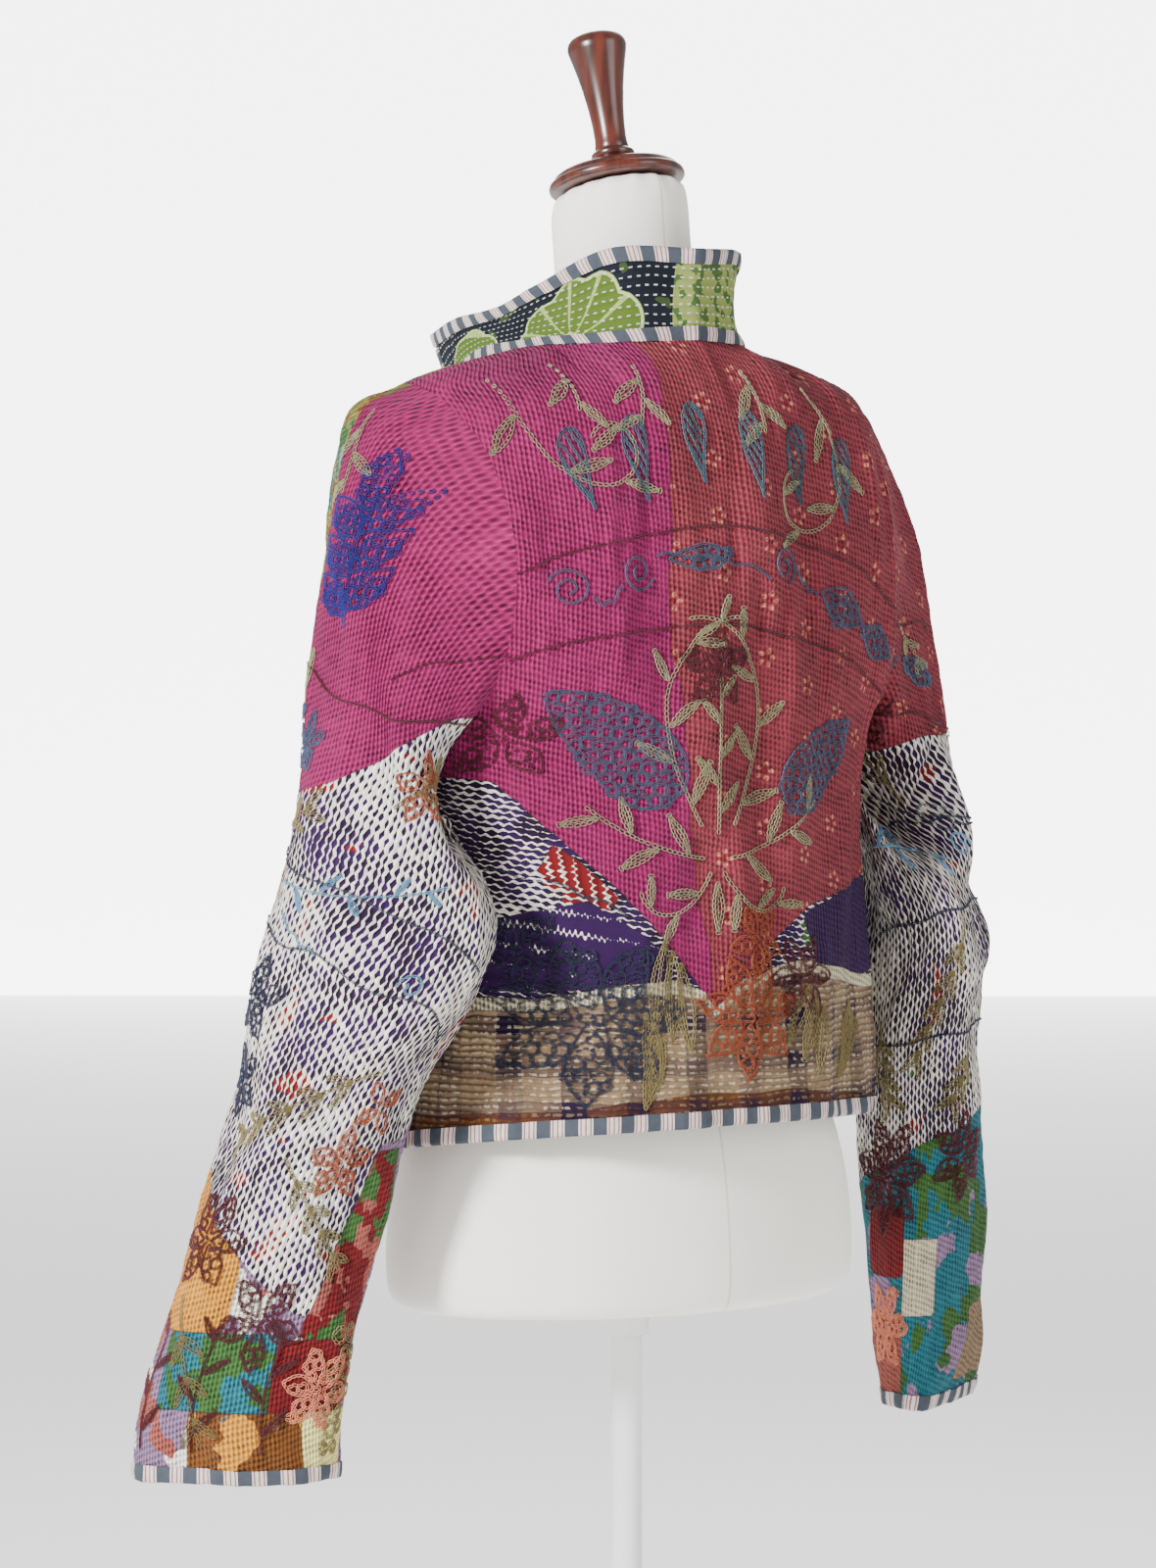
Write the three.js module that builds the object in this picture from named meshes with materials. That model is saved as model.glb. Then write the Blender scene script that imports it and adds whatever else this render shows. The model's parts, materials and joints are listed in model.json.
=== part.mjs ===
// A cropped patchwork jacket of quilted cotton, resting open on a limbless dress form.
// Millimetres, +Z up. The wearer faces -Y, and the wearer's left is +X.
// The origin is the centre of the base's underside.
import * as THREE from "three";

// ---------------------------------------------------------------- driving dimensions

// The cloth: quilted layers, sewn edge to edge, with striped binding on every free edge.
const CLOTH_WALL = 2.4;
const SEAM_GAP = 0.3;
const BINDING_WIDTH = 10;
const BINDING_LIFT = 0.3;
const BINDING_WALL = 1.5;

// Grid steps of the cloth walls.
const ROWS_BELOW_ARMPIT = 8;
const ROWS_ABOVE_ARMPIT = 12;
const NECK_COLUMNS = 6;
const SHOULDER_COLUMNS = 7;
const SLEEVE_ROWS = 20;
const SLEEVE_BLEND = 0.22;

// Shoulder seam, from the neck point to the shoulder tip.
const NECK_POINT = { x: 80, y: 10, z: 1444 };
const SHOULDER_TIP = { x: 185, y: -6, z: 1416 };
const SHOULDER_FALL = 1.4; // the seam falls faster towards the tip
const NECK_SHARE = 0.44; // share of a half panel's top edge that is neckline

// Rows of the back from hem to yoke. zMid and zSide are the heights at the centre and at the
// side, side is the half-width, mid the depth at the centre and edge the depth at the side,
// which leaves the side seam at the armpit and then follows the armhole.
const BACK_ROWS = [
  { zMid: 911, zSide: 894, side: 190, mid: 145, edge: 0 },
  { zMid: 980, zSide: 968, side: 187, mid: 142, edge: 0 },
  { zMid: 1058, zSide: 1052, side: 185, mid: 139, edge: 0 },
  { zMid: 1138, zSide: 1138, side: 184, mid: 138, edge: 0 },
  { zMid: 1215, zSide: 1205, side: 172, mid: 140, edge: 78 },
  { zMid: 1295, zSide: 1285, side: 164, mid: 138, edge: 98 },
  { zMid: 1375, zSide: 1358, side: 169, mid: 124, edge: 78 },
  { zMid: 1421, zSide: 1399, side: 178, mid: 103, edge: 38 },
];
const ARMPIT_ROW = 3;

// The same rows for a front, whose columns start at the front edge instead of the centre.
const FRONT_ROWS = [
  { zMid: 900, zSide: 894, side: 190, mid: 150, edge: 0, open: 54 },
  { zMid: 972, zSide: 968, side: 187, mid: 150, edge: 0, open: 50 },
  { zMid: 1053, zSide: 1052, side: 185, mid: 150, edge: 0, open: 46 },
  { zMid: 1138, zSide: 1138, side: 184, mid: 151, edge: 0, open: 43 },
  { zMid: 1208, zSide: 1205, side: 172, mid: 154, edge: 78, open: 41 },
  { zMid: 1278, zSide: 1285, side: 164, mid: 157, edge: 94, open: 40 },
  { zMid: 1340, zSide: 1358, side: 169, mid: 159, edge: 76, open: 40 },
  { zMid: 1376, zSide: 1399, side: 178, mid: 158, edge: 42, open: 40 },
];

// Necklines, from the centre back or the front edge to the neck point.
const BACK_NECK = [
  { share: 0, x: 0, y: 82, z: 1447 },
  { share: 0.5, x: 46, y: 69, z: 1445 },
  { share: 0.85, x: 73, y: 38, z: 1444 },
  { share: 1, x: NECK_POINT.x, y: NECK_POINT.y, z: NECK_POINT.z },
];
const FRONT_NECK = [
  { share: 0, x: 40, y: -155, z: 1396 },
  { share: 0.3, x: 62, y: -122, z: 1417 },
  { share: 0.65, x: 78, y: -66, z: 1436 },
  { share: 1, x: NECK_POINT.x, y: NECK_POINT.y, z: NECK_POINT.z },
];

// The left sleeve from armhole to cuff. over and under are its two folded edges, turn is the
// heading of its back face in degrees from +Y towards +X, and back and front are how far the
// two faces stand off the chord between the edges.
const SLEEVE_SECTIONS = [
  { at: 0, over: [185, -6, 1416], under: [184, 0, 1138], turn: 0, back: 92, front: 90 },
  { at: 0.1, over: [221, -14, 1395], under: [199, 8, 1118], turn: 5, back: 62, front: 66 },
  { at: 0.22, over: [246, -8, 1325], under: [199, 50, 1098], turn: 22, back: 35, front: 50 },
  { at: 0.36, over: [255, -12, 1218], under: [196, 98, 1078], turn: 50, back: 31, front: 46 },
  { at: 0.5, over: [259, -34, 1115], under: [200, 118, 1045], turn: 68, back: 36, front: 42 },
  { at: 0.62, over: [273, -46, 1015], under: [209, 105, 1000], turn: 67, back: 42, front: 42 },
  { at: 0.72, over: [292, -44, 942], under: [224, 68, 940], turn: 59, back: 46, front: 44 },
  { at: 0.86, over: [321, -62, 840], under: [237, 37, 840], turn: 50, back: 46, front: 43 },
  { at: 0.95, over: [352, -78, 722], under: [250, 14, 722], turn: 42, back: 40, front: 39 },
  { at: 1, over: [361, -75, 673], under: [249, 7, 673], turn: 36, back: 29, front: 29 },
];

// The collar's free upper edge, from the left front end (along 0) to the centre back (along 1).
const COLLAR_TOP = [
  { along: 0, x: 50, y: -171, z: 1457 },
  { along: 0.3, x: 71, y: -108, z: 1466 },
  { along: 0.52, x: 76, y: -50, z: 1472 },
  { along: 0.68, x: 74, y: 0, z: 1487 },
  { along: 0.84, x: 56, y: 58, z: 1508 },
  { along: 1, x: 0, y: 88, z: 1508 },
];

// Largest folds. Body folds run between two points of the panel's own face (x, z), sleeve folds
// between two points of the tube (share of the way round, share of the way down).
const BACK_FOLDS = [
  { from: [62, 1400], to: [78, 1120], width: 24, depth: 6 },
  { from: [-58, 1385], to: [-96, 1080], width: 26, depth: 7 },
  { from: [-8, 1330], to: [-24, 950], width: 22, depth: 4 },
  { from: [128, 1190], to: [70, 960], width: 30, depth: -6 },
  { from: [-150, 1170], to: [-105, 930], width: 26, depth: 7 },
];
const FRONT_FOLDS = [
  { from: [112, 1330], to: [92, 1010], width: 26, depth: 7 },
  { from: [150, 1120], to: [128, 905], width: 26, depth: -6 },
];
const SLEEVE_FOLDS = [
  { from: [0.08, 0.46], to: [0.42, 0.56], width: 0.045, depth: 8 },
  { from: [0.06, 0.62], to: [0.36, 0.55], width: 0.04, depth: -7 },
  { from: [0.12, 0.7], to: [0.44, 0.78], width: 0.04, depth: 6 },
  { from: [0.56, 0.5], to: [0.9, 0.6], width: 0.045, depth: 7 },
  { from: [0.3, 0.12], to: [0.22, 0.4], width: 0.05, depth: 6 },
];

// The dress form: heights, half-width, half-depth, forward lean, and how far the sides of a
// section hang below its centre, which gives the sloping shoulders.
const FORM_SECTIONS = [
  { z: 775, width: 168, depth: 112, y: -6, drop: 0 },
  { z: 778, width: 178, depth: 122, y: -6, drop: 0 },
  { z: 788, width: 184, depth: 128, y: -6, drop: 0 },
  { z: 832, width: 184, depth: 127, y: -6, drop: 0 },
  { z: 885, width: 175, depth: 120, y: -6, drop: 0 },
  { z: 945, width: 150, depth: 104, y: -6, drop: 0 },
  { z: 1005, width: 128, depth: 92, y: -6, drop: 0 },
  { z: 1040, width: 125, depth: 90, y: -6, drop: 0 },
  { z: 1100, width: 136, depth: 100, y: -8, drop: 0 },
  { z: 1170, width: 150, depth: 112, y: -10, drop: 0 },
  { z: 1240, width: 157, depth: 112, y: -9, drop: 4 },
  { z: 1310, width: 160, depth: 102, y: -4, drop: 8 },
  { z: 1366, width: 160, depth: 82, y: -2, drop: 14 },
];
const FORM_COLUMNS = 32;
const FORM_CLEARANCE = 0.5; // the cloth hangs from the shoulders at this distance
const FORM_SHOULDER_SEATS = [
  { x: 152, depth: 46, drop: -46 },
  { x: 130, depth: 44, drop: -44 },
  { x: 108, depth: 43, drop: -38 },
  { x: 89, depth: 42, drop: -28 },
];
const NECK_FOOT = { width: 70, depth: 50, y: 6, z: 1435 };
const NECK_RADIUS = 48;
const NECK_TILT = 14; // degrees, the neck's cut top leans forward
const NECK_TOP = { y: -11, z: 1557 };

// Turned wood and the stand.
const CAP_PROFILE = [[0, 0], [45, 0], [48, 3], [48, 7], [44, 11], [31, 16], [17, 19], [14, 22], [13, 27], [0, 27]];
const FINIAL_PROFILE = [
  [0, 0], [12, 0], [11.5, 7], [12.5, 28], [16.5, 54], [20.3, 69], [21, 75], [19, 81], [12, 84], [0, 85],
];
const BASE_RADIUS = 170;
const BASE_HEIGHT = 16;
const POLE_RADIUS = 11;
const SOCKET_RADIUS = 16;
const SOCKET_HEIGHT = 26;
const ROUND_STEPS = 32;

// ---------------------------------------------------------------- small helpers

const FACE_GAP = 0.3; // between pieces that stand on one another
const DIFFERENCE = 1e-3; // parameter step for slopes

const degrees = (angle) => (angle * Math.PI) / 180;
const mix = (a, b, t) => a + (b - a) * t;
const point = (x, y, z) => new THREE.Vector3(x, y, z);

function smooth(t) {
  const c = Math.min(1, Math.max(0, t));
  return c * c * (3 - 2 * c);
}

// A smooth curve through keyed rows: key names the row's parameter, fields its values.
function tableAt(rows, key, fields, t) {
  let k = 0;
  while (k < rows.length - 2 && t > rows[k + 1][key]) {
    k += 1;
  }
  const row = (index) => rows[Math.min(rows.length - 1, Math.max(0, index))];
  const span = rows[k + 1][key] - rows[k][key];
  const local = Math.min(1, Math.max(0, (t - rows[k][key]) / span));
  return fields.map((field) => hermite(row, k, field, key, local, span));
}

function hermite(row, k, field, key, t, span) {
  const value = (index) => field(row(index));
  const slope = (index) => {
    const reach = row(index + 1)[key] - row(index - 1)[key];
    return ((value(index + 1) - value(index - 1)) / reach) * span;
  };
  const t2 = t * t;
  const t3 = t2 * t;
  return (
    value(k) * (2 * t3 - 3 * t2 + 1) +
    slope(k) * (t3 - 2 * t2 + t) +
    value(k + 1) * (3 * t2 - 2 * t3) +
    slope(k + 1) * (t3 - t2)
  );
}

// Depth of all folds at a place: a rounded trough that fades out at its two ends.
function foldDepth(folds, a, b) {
  let depth = 0;
  for (const fold of folds) {
    const along = [fold.to[0] - fold.from[0], fold.to[1] - fold.from[1]];
    const length2 = along[0] ** 2 + along[1] ** 2;
    const t = ((a - fold.from[0]) * along[0] + (b - fold.from[1]) * along[1]) / length2;
    const nearest = Math.min(1, Math.max(0, t));
    const off = Math.hypot(a - fold.from[0] - along[0] * nearest, b - fold.from[1] - along[1] * nearest);
    const fade = Math.sin(Math.PI * mix(0.12, 0.88, nearest));
    depth += fold.depth * fade * Math.exp(-((off / fold.width) ** 2));
  }
  return depth;
}

// Outward normal of a surface whose u runs to the right and v upwards, seen from outside.
function normalOf(surface, u, v) {
  const du = surface(u + DIFFERENCE, v).sub(surface(u - DIFFERENCE, v));
  const dv = surface(u, v + DIFFERENCE).sub(surface(u, v - DIFFERENCE));
  return du.cross(dv).normalize();
}

// A closed wall between two layers of grid points, open sheet or tube.
function wallGeometry(outer, inner, tube) {
  const rows = outer.length;
  const columns = outer[0].length;
  const positions = [outer, inner].flat(2).flatMap((p) => [p.x, p.y, p.z]);
  const indices = [];
  const at = (layer, i, j) => (layer * rows + i) * columns + (j % columns);
  const quad = (a, b, c, d) => indices.push(a, b, c, a, c, d);
  const last = tube ? columns : columns - 1;
  for (let j = 0; j < last; j += 1) {
    for (let i = 0; i < rows - 1; i += 1) {
      quad(at(0, i, j), at(0, i, j + 1), at(0, i + 1, j + 1), at(0, i + 1, j));
      quad(at(1, i, j), at(1, i + 1, j), at(1, i + 1, j + 1), at(1, i, j + 1));
    }
    quad(at(0, 0, j), at(1, 0, j), at(1, 0, j + 1), at(0, 0, j + 1));
    quad(at(0, rows - 1, j), at(0, rows - 1, j + 1), at(1, rows - 1, j + 1), at(1, rows - 1, j));
  }
  for (let i = 0; i < rows - 1 && !tube; i += 1) {
    const j = columns - 1;
    quad(at(0, i, 0), at(0, i + 1, 0), at(1, i + 1, 0), at(1, i, 0));
    quad(at(0, i, j), at(1, i, j), at(1, i + 1, j), at(0, i + 1, j));
  }
  return facingOut(positions, indices);
}

// A geometry whose triangles are turned round if its volume comes out negative.
function facingOut(positions, indices) {
  let volume = 0;
  for (let k = 0; k < indices.length; k += 3) {
    const [a, b, c] = [0, 1, 2].map((n) => new THREE.Vector3().fromArray(positions, indices[k + n] * 3));
    volume += a.dot(b.cross(c));
  }
  const order = volume < 0 ? indices.slice().reverse() : indices;
  const geometry = new THREE.BufferGeometry();
  geometry.setAttribute("position", new THREE.Float32BufferAttribute(positions, 3));
  geometry.setIndex(order);
  geometry.computeVertexNormals();
  return geometry;
}

// A wall on a surface, from the offset `low` to the offset `high` along its normals.
function wallOn(surface, normals, us, vs, low, high, tube = false) {
  const layer = (offset) =>
    vs.map((v) => us.map((u) => surface(u, v).addScaledVector(normals(u, v), offset)));
  return wallGeometry(layer(high), layer(low), tube);
}

function steps(from, to, count) {
  return Array.from({ length: count + 1 }, (_, k) => mix(from, to, k / count));
}

// Two runs of steps that share the value between them.
function joined(first, second) {
  return [...first, ...second.slice(1)];
}

function mirrored(geometry) {
  const positions = Array.from(geometry.attributes.position.array);
  for (let k = 0; k < positions.length; k += 3) {
    positions[k] = -positions[k];
  }
  return facingOut(positions, Array.from(geometry.index.array));
}

// ---------------------------------------------------------------- body panels

const TOP_ROW = BACK_ROWS.length;
const ARMPIT = ARMPIT_ROW / TOP_ROW;

// A point of the shoulder seam, from the neck point (0) to the shoulder tip (1).
function shoulderSeam(share) {
  const z = mix(NECK_POINT.z, SHOULDER_TIP.z, share ** SHOULDER_FALL);
  return point(mix(NECK_POINT.x, SHOULDER_TIP.x, share), mix(NECK_POINT.y, SHOULDER_TIP.y, share), z);
}

function seamSlope(share) {
  const fall = shoulderSeam(share - DIFFERENCE).sub(shoulderSeam(share + DIFFERENCE));
  return -fall.z / fall.x;
}

// The top edge of a half panel: neckline, then shoulder seam.
function topEdge(neck, share) {
  if (share >= NECK_SHARE) {
    return shoulderSeam((share - NECK_SHARE) / (1 - NECK_SHARE));
  }
  const fields = [(r) => r.x, (r) => r.y, (r) => r.z];
  return point(...tableAt(neck, "share", fields, share / NECK_SHARE));
}

// One row of a half panel, from its centre or front edge (0) to its side (1).
function rowPoint(row, share, face) {
  const sweep = Math.acos(Math.min(1, Math.max(-1, row.edge / row.mid)));
  const open = row.open ?? 0;
  const x = open + ((row.side - open) * Math.sin(share * sweep)) / Math.sin(sweep);
  const z = mix(row.zMid, row.zSide, share * share);
  return point(x, face * row.mid * Math.cos(share * sweep), z);
}

// Past the shoulder seam a panel would go on down the far side, so it is level at the seam.
function overShoulder(seam, before) {
  return point(before.x, 2 * seam.y - before.y, before.z);
}

// A half panel without its folds: share 0 to 1 across, height 0 at the hem to 1 at the top.
function halfPanel(rows, neck, face, share, height) {
  const place = Math.min(1, Math.max(0, height)) * TOP_ROW;
  const k = Math.min(TOP_ROW - 1, Math.floor(place));
  const last = k < ARMPIT_ROW ? ARMPIT_ROW : TOP_ROW; // the side seam ends at the armpit
  const control = (index) => {
    const i = Math.min(last, Math.max(0, index));
    if (index > TOP_ROW && share >= NECK_SHARE) {
      return overShoulder(topEdge(neck, share), rowPoint(rows[TOP_ROW - 1], share, face));
    }
    return i === TOP_ROW ? topEdge(neck, share) : rowPoint(rows[i], share, face);
  };
  const curve = new THREE.CatmullRomCurve3([k - 1, k, k + 1, k + 2].map(control));
  curve.curveType = "catmullrom";
  const extra = height > 1 ? height - 1 : Math.min(0, height);
  const inside = curve.getPoint((1 + place - k) / 3);
  const ahead = curve.getTangent((1 + place - k) / 3);
  return inside.addScaledVector(ahead, extra * JACKET_LENGTH);
}

const JACKET_LENGTH = 540;

function backBase(u, v) {
  const p = halfPanel(BACK_ROWS, BACK_NECK, 1, Math.abs(u), v);
  return point(u < 0 ? p.x : -p.x, p.y, p.z);
}

function frontBase(u, v) {
  return halfPanel(FRONT_ROWS, FRONT_NECK, -1, u, v);
}

// Panels with their folds pressed in, which fade towards the seams.
function folded(base, folds) {
  return (u, v) => {
    const p = base(u, v);
    const calm = smooth((1 - Math.abs(u)) / 0.12) * smooth((1 - v) / 0.1);
    const depth = foldDepth(folds, p.x, p.z) * calm;
    return p.addScaledVector(normalOf(base, u, v), -depth);
  };
}

const back = folded(backBase, BACK_FOLDS);
const front = folded(frontBase, FRONT_FOLDS);

// Normals of a panel, set square along its seams so that neighbours stay parallel there.
function panelNormals(surface, sideNormal) {
  return (u, v) => {
    const share = Math.abs(u);
    if (v > 1 - DIFFERENCE && share >= NECK_SHARE) {
      const lean = share === NECK_SHARE ? 1 : seamSlope((share - NECK_SHARE) / (1 - NECK_SHARE));
      return point(Math.sign(surface(u, v).x) * lean, 0, 1).normalize();
    }
    if (v > 1 - DIFFERENCE) {
      const p = surface(u, v);
      return point(p.x, p.y, 0).normalize();
    }
    if (share > 1 - DIFFERENCE && v <= ARMPIT + DIFFERENCE) {
      return sideNormal(u);
    }
    return normalOf(surface, u, v);
  };
}

const backNormals = panelNormals(back, (u) => point(u < 0 ? 1 : -1, 0, 0));
const frontNormals = panelNormals(front, () => point(1, 0, 0));

const PANEL_ROWS = joined(steps(0, ARMPIT, ROWS_BELOW_ARMPIT), steps(ARMPIT, 1, ROWS_ABOVE_ARMPIT));
const SHARES = joined(steps(0, NECK_SHARE, NECK_COLUMNS), steps(NECK_SHARE, 1, SHOULDER_COLUMNS));
const BACK_SHARES = joined(SHARES.map((share) => -share).reverse(), SHARES);

// Moves a panel's side and shoulder seams half a gap towards its own face.
function parted(surface, face) {
  return (u, v) => {
    const p = surface(u, v);
    const onSeam = Math.abs(u) >= NECK_SHARE && v > 1 - DIFFERENCE;
    const onSide = Math.abs(u) > 1 - DIFFERENCE && v <= ARMPIT + DIFFERENCE;
    p.y += onSeam || onSide ? (face * SEAM_GAP) / 2 : 0;
    return p;
  };
}

const backGeometry = wallOn(
  parted(back, 1), backNormals, BACK_SHARES, PANEL_ROWS, -CLOTH_WALL, 0,
);
const frontGeometry = wallOn(
  parted(front, -1), frontNormals, SHARES, PANEL_ROWS, -CLOTH_WALL, 0,
);

// ---------------------------------------------------------------- sleeves

// The armhole: up the back edge from the armpit to the shoulder tip, then down the front edge.
function armhole(turnShare) {
  const onBack = turnShare <= 0.5;
  const height = mix(ARMPIT, 1, onBack ? turnShare * 2 : (1 - turnShare) * 2);
  return {
    place: onBack ? back(-1, height) : front(1, height),
    normal: onBack ? backNormals(-1, height) : frontNormals(1, height),
  };
}

function sleeveSection(around, along) {
  const fields = [0, 1, 2].flatMap((n) => [(r) => r.over[n], (r) => r.under[n]]);
  fields.push((r) => r.turn, (r) => r.back, (r) => r.front);
  const [ox, ux, oy, uy, oz, uz, turn, rear, fore] = tableAt(SLEEVE_SECTIONS, "at", fields, along);
  const angle = around * 2 * Math.PI;
  const bulge = Math.sin(angle) * (Math.sin(angle) > 0 ? rear : fore);
  const swing = (1 - Math.cos(angle)) / 2;
  const heading = degrees(turn);
  return point(
    mix(ux, ox, swing) + Math.sin(heading) * bulge,
    mix(uy, oy, swing) + Math.cos(heading) * bulge,
    mix(uz, oz, swing),
  );
}

// around 0 is the underarm, 0.25 the back face, 0.5 the overarm and 0.75 the front face.
function sleeveBase(around, along) {
  const turnShare = around - Math.floor(around);
  const tube = sleeveSection(turnShare, along);
  if (along >= SLEEVE_BLEND) {
    return tube;
  }
  const start = armhole(turnShare).place;
  const drift = tube.clone().sub(sleeveSection(turnShare, 0));
  return start.add(drift).lerp(tube, smooth(along / SLEEVE_BLEND));
}

function sleeve(around, along) {
  const p = sleeveBase(around, along);
  const calm = smooth(along / 0.12) * smooth((1 - along) / 0.08);
  const turnShare = around - Math.floor(around);
  const depth = foldDepth(SLEEVE_FOLDS, turnShare, along) * calm;
  return p.addScaledVector(sleeveNormal(sleeveBase, around, along), -depth);
}

function sleeveNormal(surface, around, along) {
  const low = Math.max(0, along - DIFFERENCE);
  const high = Math.min(1, along + DIFFERENCE);
  const round = surface(around + DIFFERENCE, along).sub(surface(around - DIFFERENCE, along));
  return round.cross(surface(around, low).sub(surface(around, high))).normalize().negate();
}

// Where the sleeve leaves the armhole: its heading, and how far it turns out from the panel,
// which is 0 over the shoulder and 1 under the arm.
const SHARP_TURN = 0.4;

function departure(around) {
  const { normal } = armhole(around);
  const heading = sleeve(around, DIFFERENCE * 10).sub(sleeve(around, 0)).normalize();
  return { normal, heading, turnsOut: smooth(heading.dot(normal) / SHARP_TURN) };
}

function sleeveNormals(around, along) {
  const own = sleeveNormal(sleeve, around, along);
  if (along > 0) {
    return own;
  }
  const { normal, turnsOut } = departure(around);
  return own.lerp(normal, 1 - turnsOut).normalize();
}

// The sleeve's first ring stands a seam's gap off the armhole edge.
function sleeveParted(around, along) {
  const p = sleeve(around, along);
  if (along > 0) {
    return p;
  }
  const { normal, heading, turnsOut } = departure(around);
  return p.addScaledVector(heading.lerp(normal, turnsOut).normalize(), SEAM_GAP);
}

const SLEEVE_COLUMNS = ROWS_ABOVE_ARMPIT * 2;
const AROUND = steps(0, 1, SLEEVE_COLUMNS).slice(0, -1);
const CUFF_BAND = 1 - BINDING_WIDTH / 980; // the cuff's end of the sleeve's own scale
const ALONG = joined(steps(0, CUFF_BAND, SLEEVE_ROWS), [CUFF_BAND, 1]);
const sleeveGeometry = wallOn(sleeveParted, sleeveNormals, AROUND, ALONG, -CLOTH_WALL, 0, true);

// ---------------------------------------------------------------- collar

// along runs from the wearer's right front end (-1) over the centre back (0) to the left (1).
const BACK_SPLIT = 0.42; // share of the half neckline that lies on the back

function neckline(along) {
  const reach = Math.abs(along);
  const p =
    reach < BACK_SPLIT
      ? topEdge(BACK_NECK, (reach / BACK_SPLIT) * NECK_SHARE)
      : topEdge(FRONT_NECK, (NECK_SHARE * (1 - reach)) / (1 - BACK_SPLIT));
  return point(Math.sign(along) * p.x, p.y, p.z + SEAM_GAP);
}

function collar(along, height) {
  const foot = neckline(along);
  const fields = [(r) => r.x, (r) => r.y, (r) => r.z];
  const [x, y, z] = tableAt(COLLAR_TOP, "along", fields, 1 - Math.abs(along));
  const top = point(Math.sign(along) * x, y, z);
  const flare = Math.sin(Math.PI * height) * 2.5; // the stand bows a little towards the neck
  const away = point(foot.x, foot.y, 0).normalize();
  return foot.lerp(top, height).addScaledVector(away, -flare);
}

function collarNormals(along, height) {
  if (height < DIFFERENCE) {
    const p = neckline(along);
    return point(p.x, p.y, 0).normalize();
  }
  const middle = Math.min(1 - 2 * DIFFERENCE, Math.max(-1 + 2 * DIFFERENCE, along));
  return normalOf((u, v) => collar(-u, v), -middle, height);
}

const COLLAR_HEIGHT = 60;
const BAND_SHARE = BINDING_WIDTH / COLLAR_HEIGHT;
const END_SHARE = 0.045; // share of the half collar that a binding's width covers
const HALF_ALONG = joined(
  steps(0, BACK_SPLIT, NECK_COLUMNS),
  [...steps(BACK_SPLIT, 1, NECK_COLUMNS).slice(0, -1), 1 - END_SHARE, 1],
);
const COLLAR_ALONG = joined(HALF_ALONG.slice().reverse(), HALF_ALONG.map((along) => -along));
const BAND_PART = 0.01; // share of the collar's height left between two bindings
const COLLAR_HEIGHTS = [0, BAND_SHARE, BAND_SHARE + BAND_PART, 0.5, 1 - BAND_SHARE - BAND_PART, 1 - BAND_SHARE, 1];
const collarGeometry = wallOn(collar, collarNormals, COLLAR_ALONG, COLLAR_HEIGHTS, -CLOTH_WALL, 0);

// ---------------------------------------------------------------- bindings

const BAND_LOW = BINDING_LIFT;
const BAND_HIGH = BINDING_LIFT + BINDING_WALL;

function bandOnCollar(alongs, heights) {
  return wallOn(collar, collarNormals, alongs, heights, BAND_LOW, BAND_HIGH);
}

function collarEndBand(side) {
  const alongs = [side, side * (1 - END_SHARE)].sort((a, b) => b - a);
  return bandOnCollar(alongs, COLLAR_HEIGHTS.slice(2, -2));
}

// The hem is one strip, from the left front edge (0) by the side seams (1 and 3) and the centre
// back (2) to the right front edge (4).
const HEM_SHARE = BINDING_WIDTH / JACKET_LENGTH;

function hemPanel(around) {
  if (around <= 1 || around >= 3) {
    return { surface: front, u: around <= 1 ? around : 4 - around, side: around <= 1 ? 1 : -1 };
  }
  return { surface: back, u: around - 2, side: 1 };
}

function hemSurface(around, height) {
  const { surface, u, side } = hemPanel(around);
  const p = surface(u, height * HEM_SHARE);
  return point(side * p.x, p.y, p.z);
}

function hemNormals(around, height) {
  const { surface, u, side } = hemPanel(around);
  const onSeam = Math.abs(u) > 1 - DIFFERENCE;
  const n = onSeam ? point(Math.sign(hemSurface(around, 0).x), 0, 0) : normalOf(surface, u, height * HEM_SHARE);
  n.x *= onSeam ? 1 : side;
  return n;
}

const HEM_COLUMNS = joined(
  joined(SHARES, BACK_SHARES.map((share) => 2 + share)),
  SHARES.map((share) => 4 - share).reverse(),
);

// A front edge's strip follows the panel's rows from above the hem's strip to the neck.
const FRONT_EDGE_SHARE = SHARES[1]; // the first column is about a binding wide

function frontEdgeBand() {
  const rows = PANEL_ROWS.filter((v) => v > HEM_SHARE && v < 1);
  const first = HEM_SHARE + 1 / JACKET_LENGTH;
  const top = 1 - 2 / JACKET_LENGTH;
  return wallOn(front, frontNormals, [0, FRONT_EDGE_SHARE], [first, ...rows, top], BAND_LOW, BAND_HIGH);
}

function cuffBand() {
  return wallOn(sleeve, sleeveNormals, AROUND, [CUFF_BAND, 1], BAND_LOW, BAND_HIGH, true);
}

// ---------------------------------------------------------------- dress form and stand

// Sections of the upper form, whose sides lie just under the cloth's shoulder seams and whose
// front and back fall away.
function shoulderSections() {
  return FORM_SHOULDER_SEATS.map(({ x, depth, drop }) => {
    const seam = shoulderSeam((x - NECK_POINT.x) / (SHOULDER_TIP.x - NECK_POINT.x));
    const side = seam.z - CLOTH_WALL - FORM_CLEARANCE;
    return { z: side + drop, width: x, depth, y: seam.y, drop };
  });
}

function formRing(section) {
  return steps(0, 1, FORM_COLUMNS).slice(0, -1).map((turn) => {
    const angle = turn * 2 * Math.PI;
    const x = section.width * Math.cos(angle);
    const y = section.y + section.depth * Math.sin(angle);
    const lean = (section.tilt ?? 0) * section.depth * Math.sin(angle);
    return point(x, y, section.z - section.drop * Math.cos(angle) ** 2 + lean);
  });
}

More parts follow.
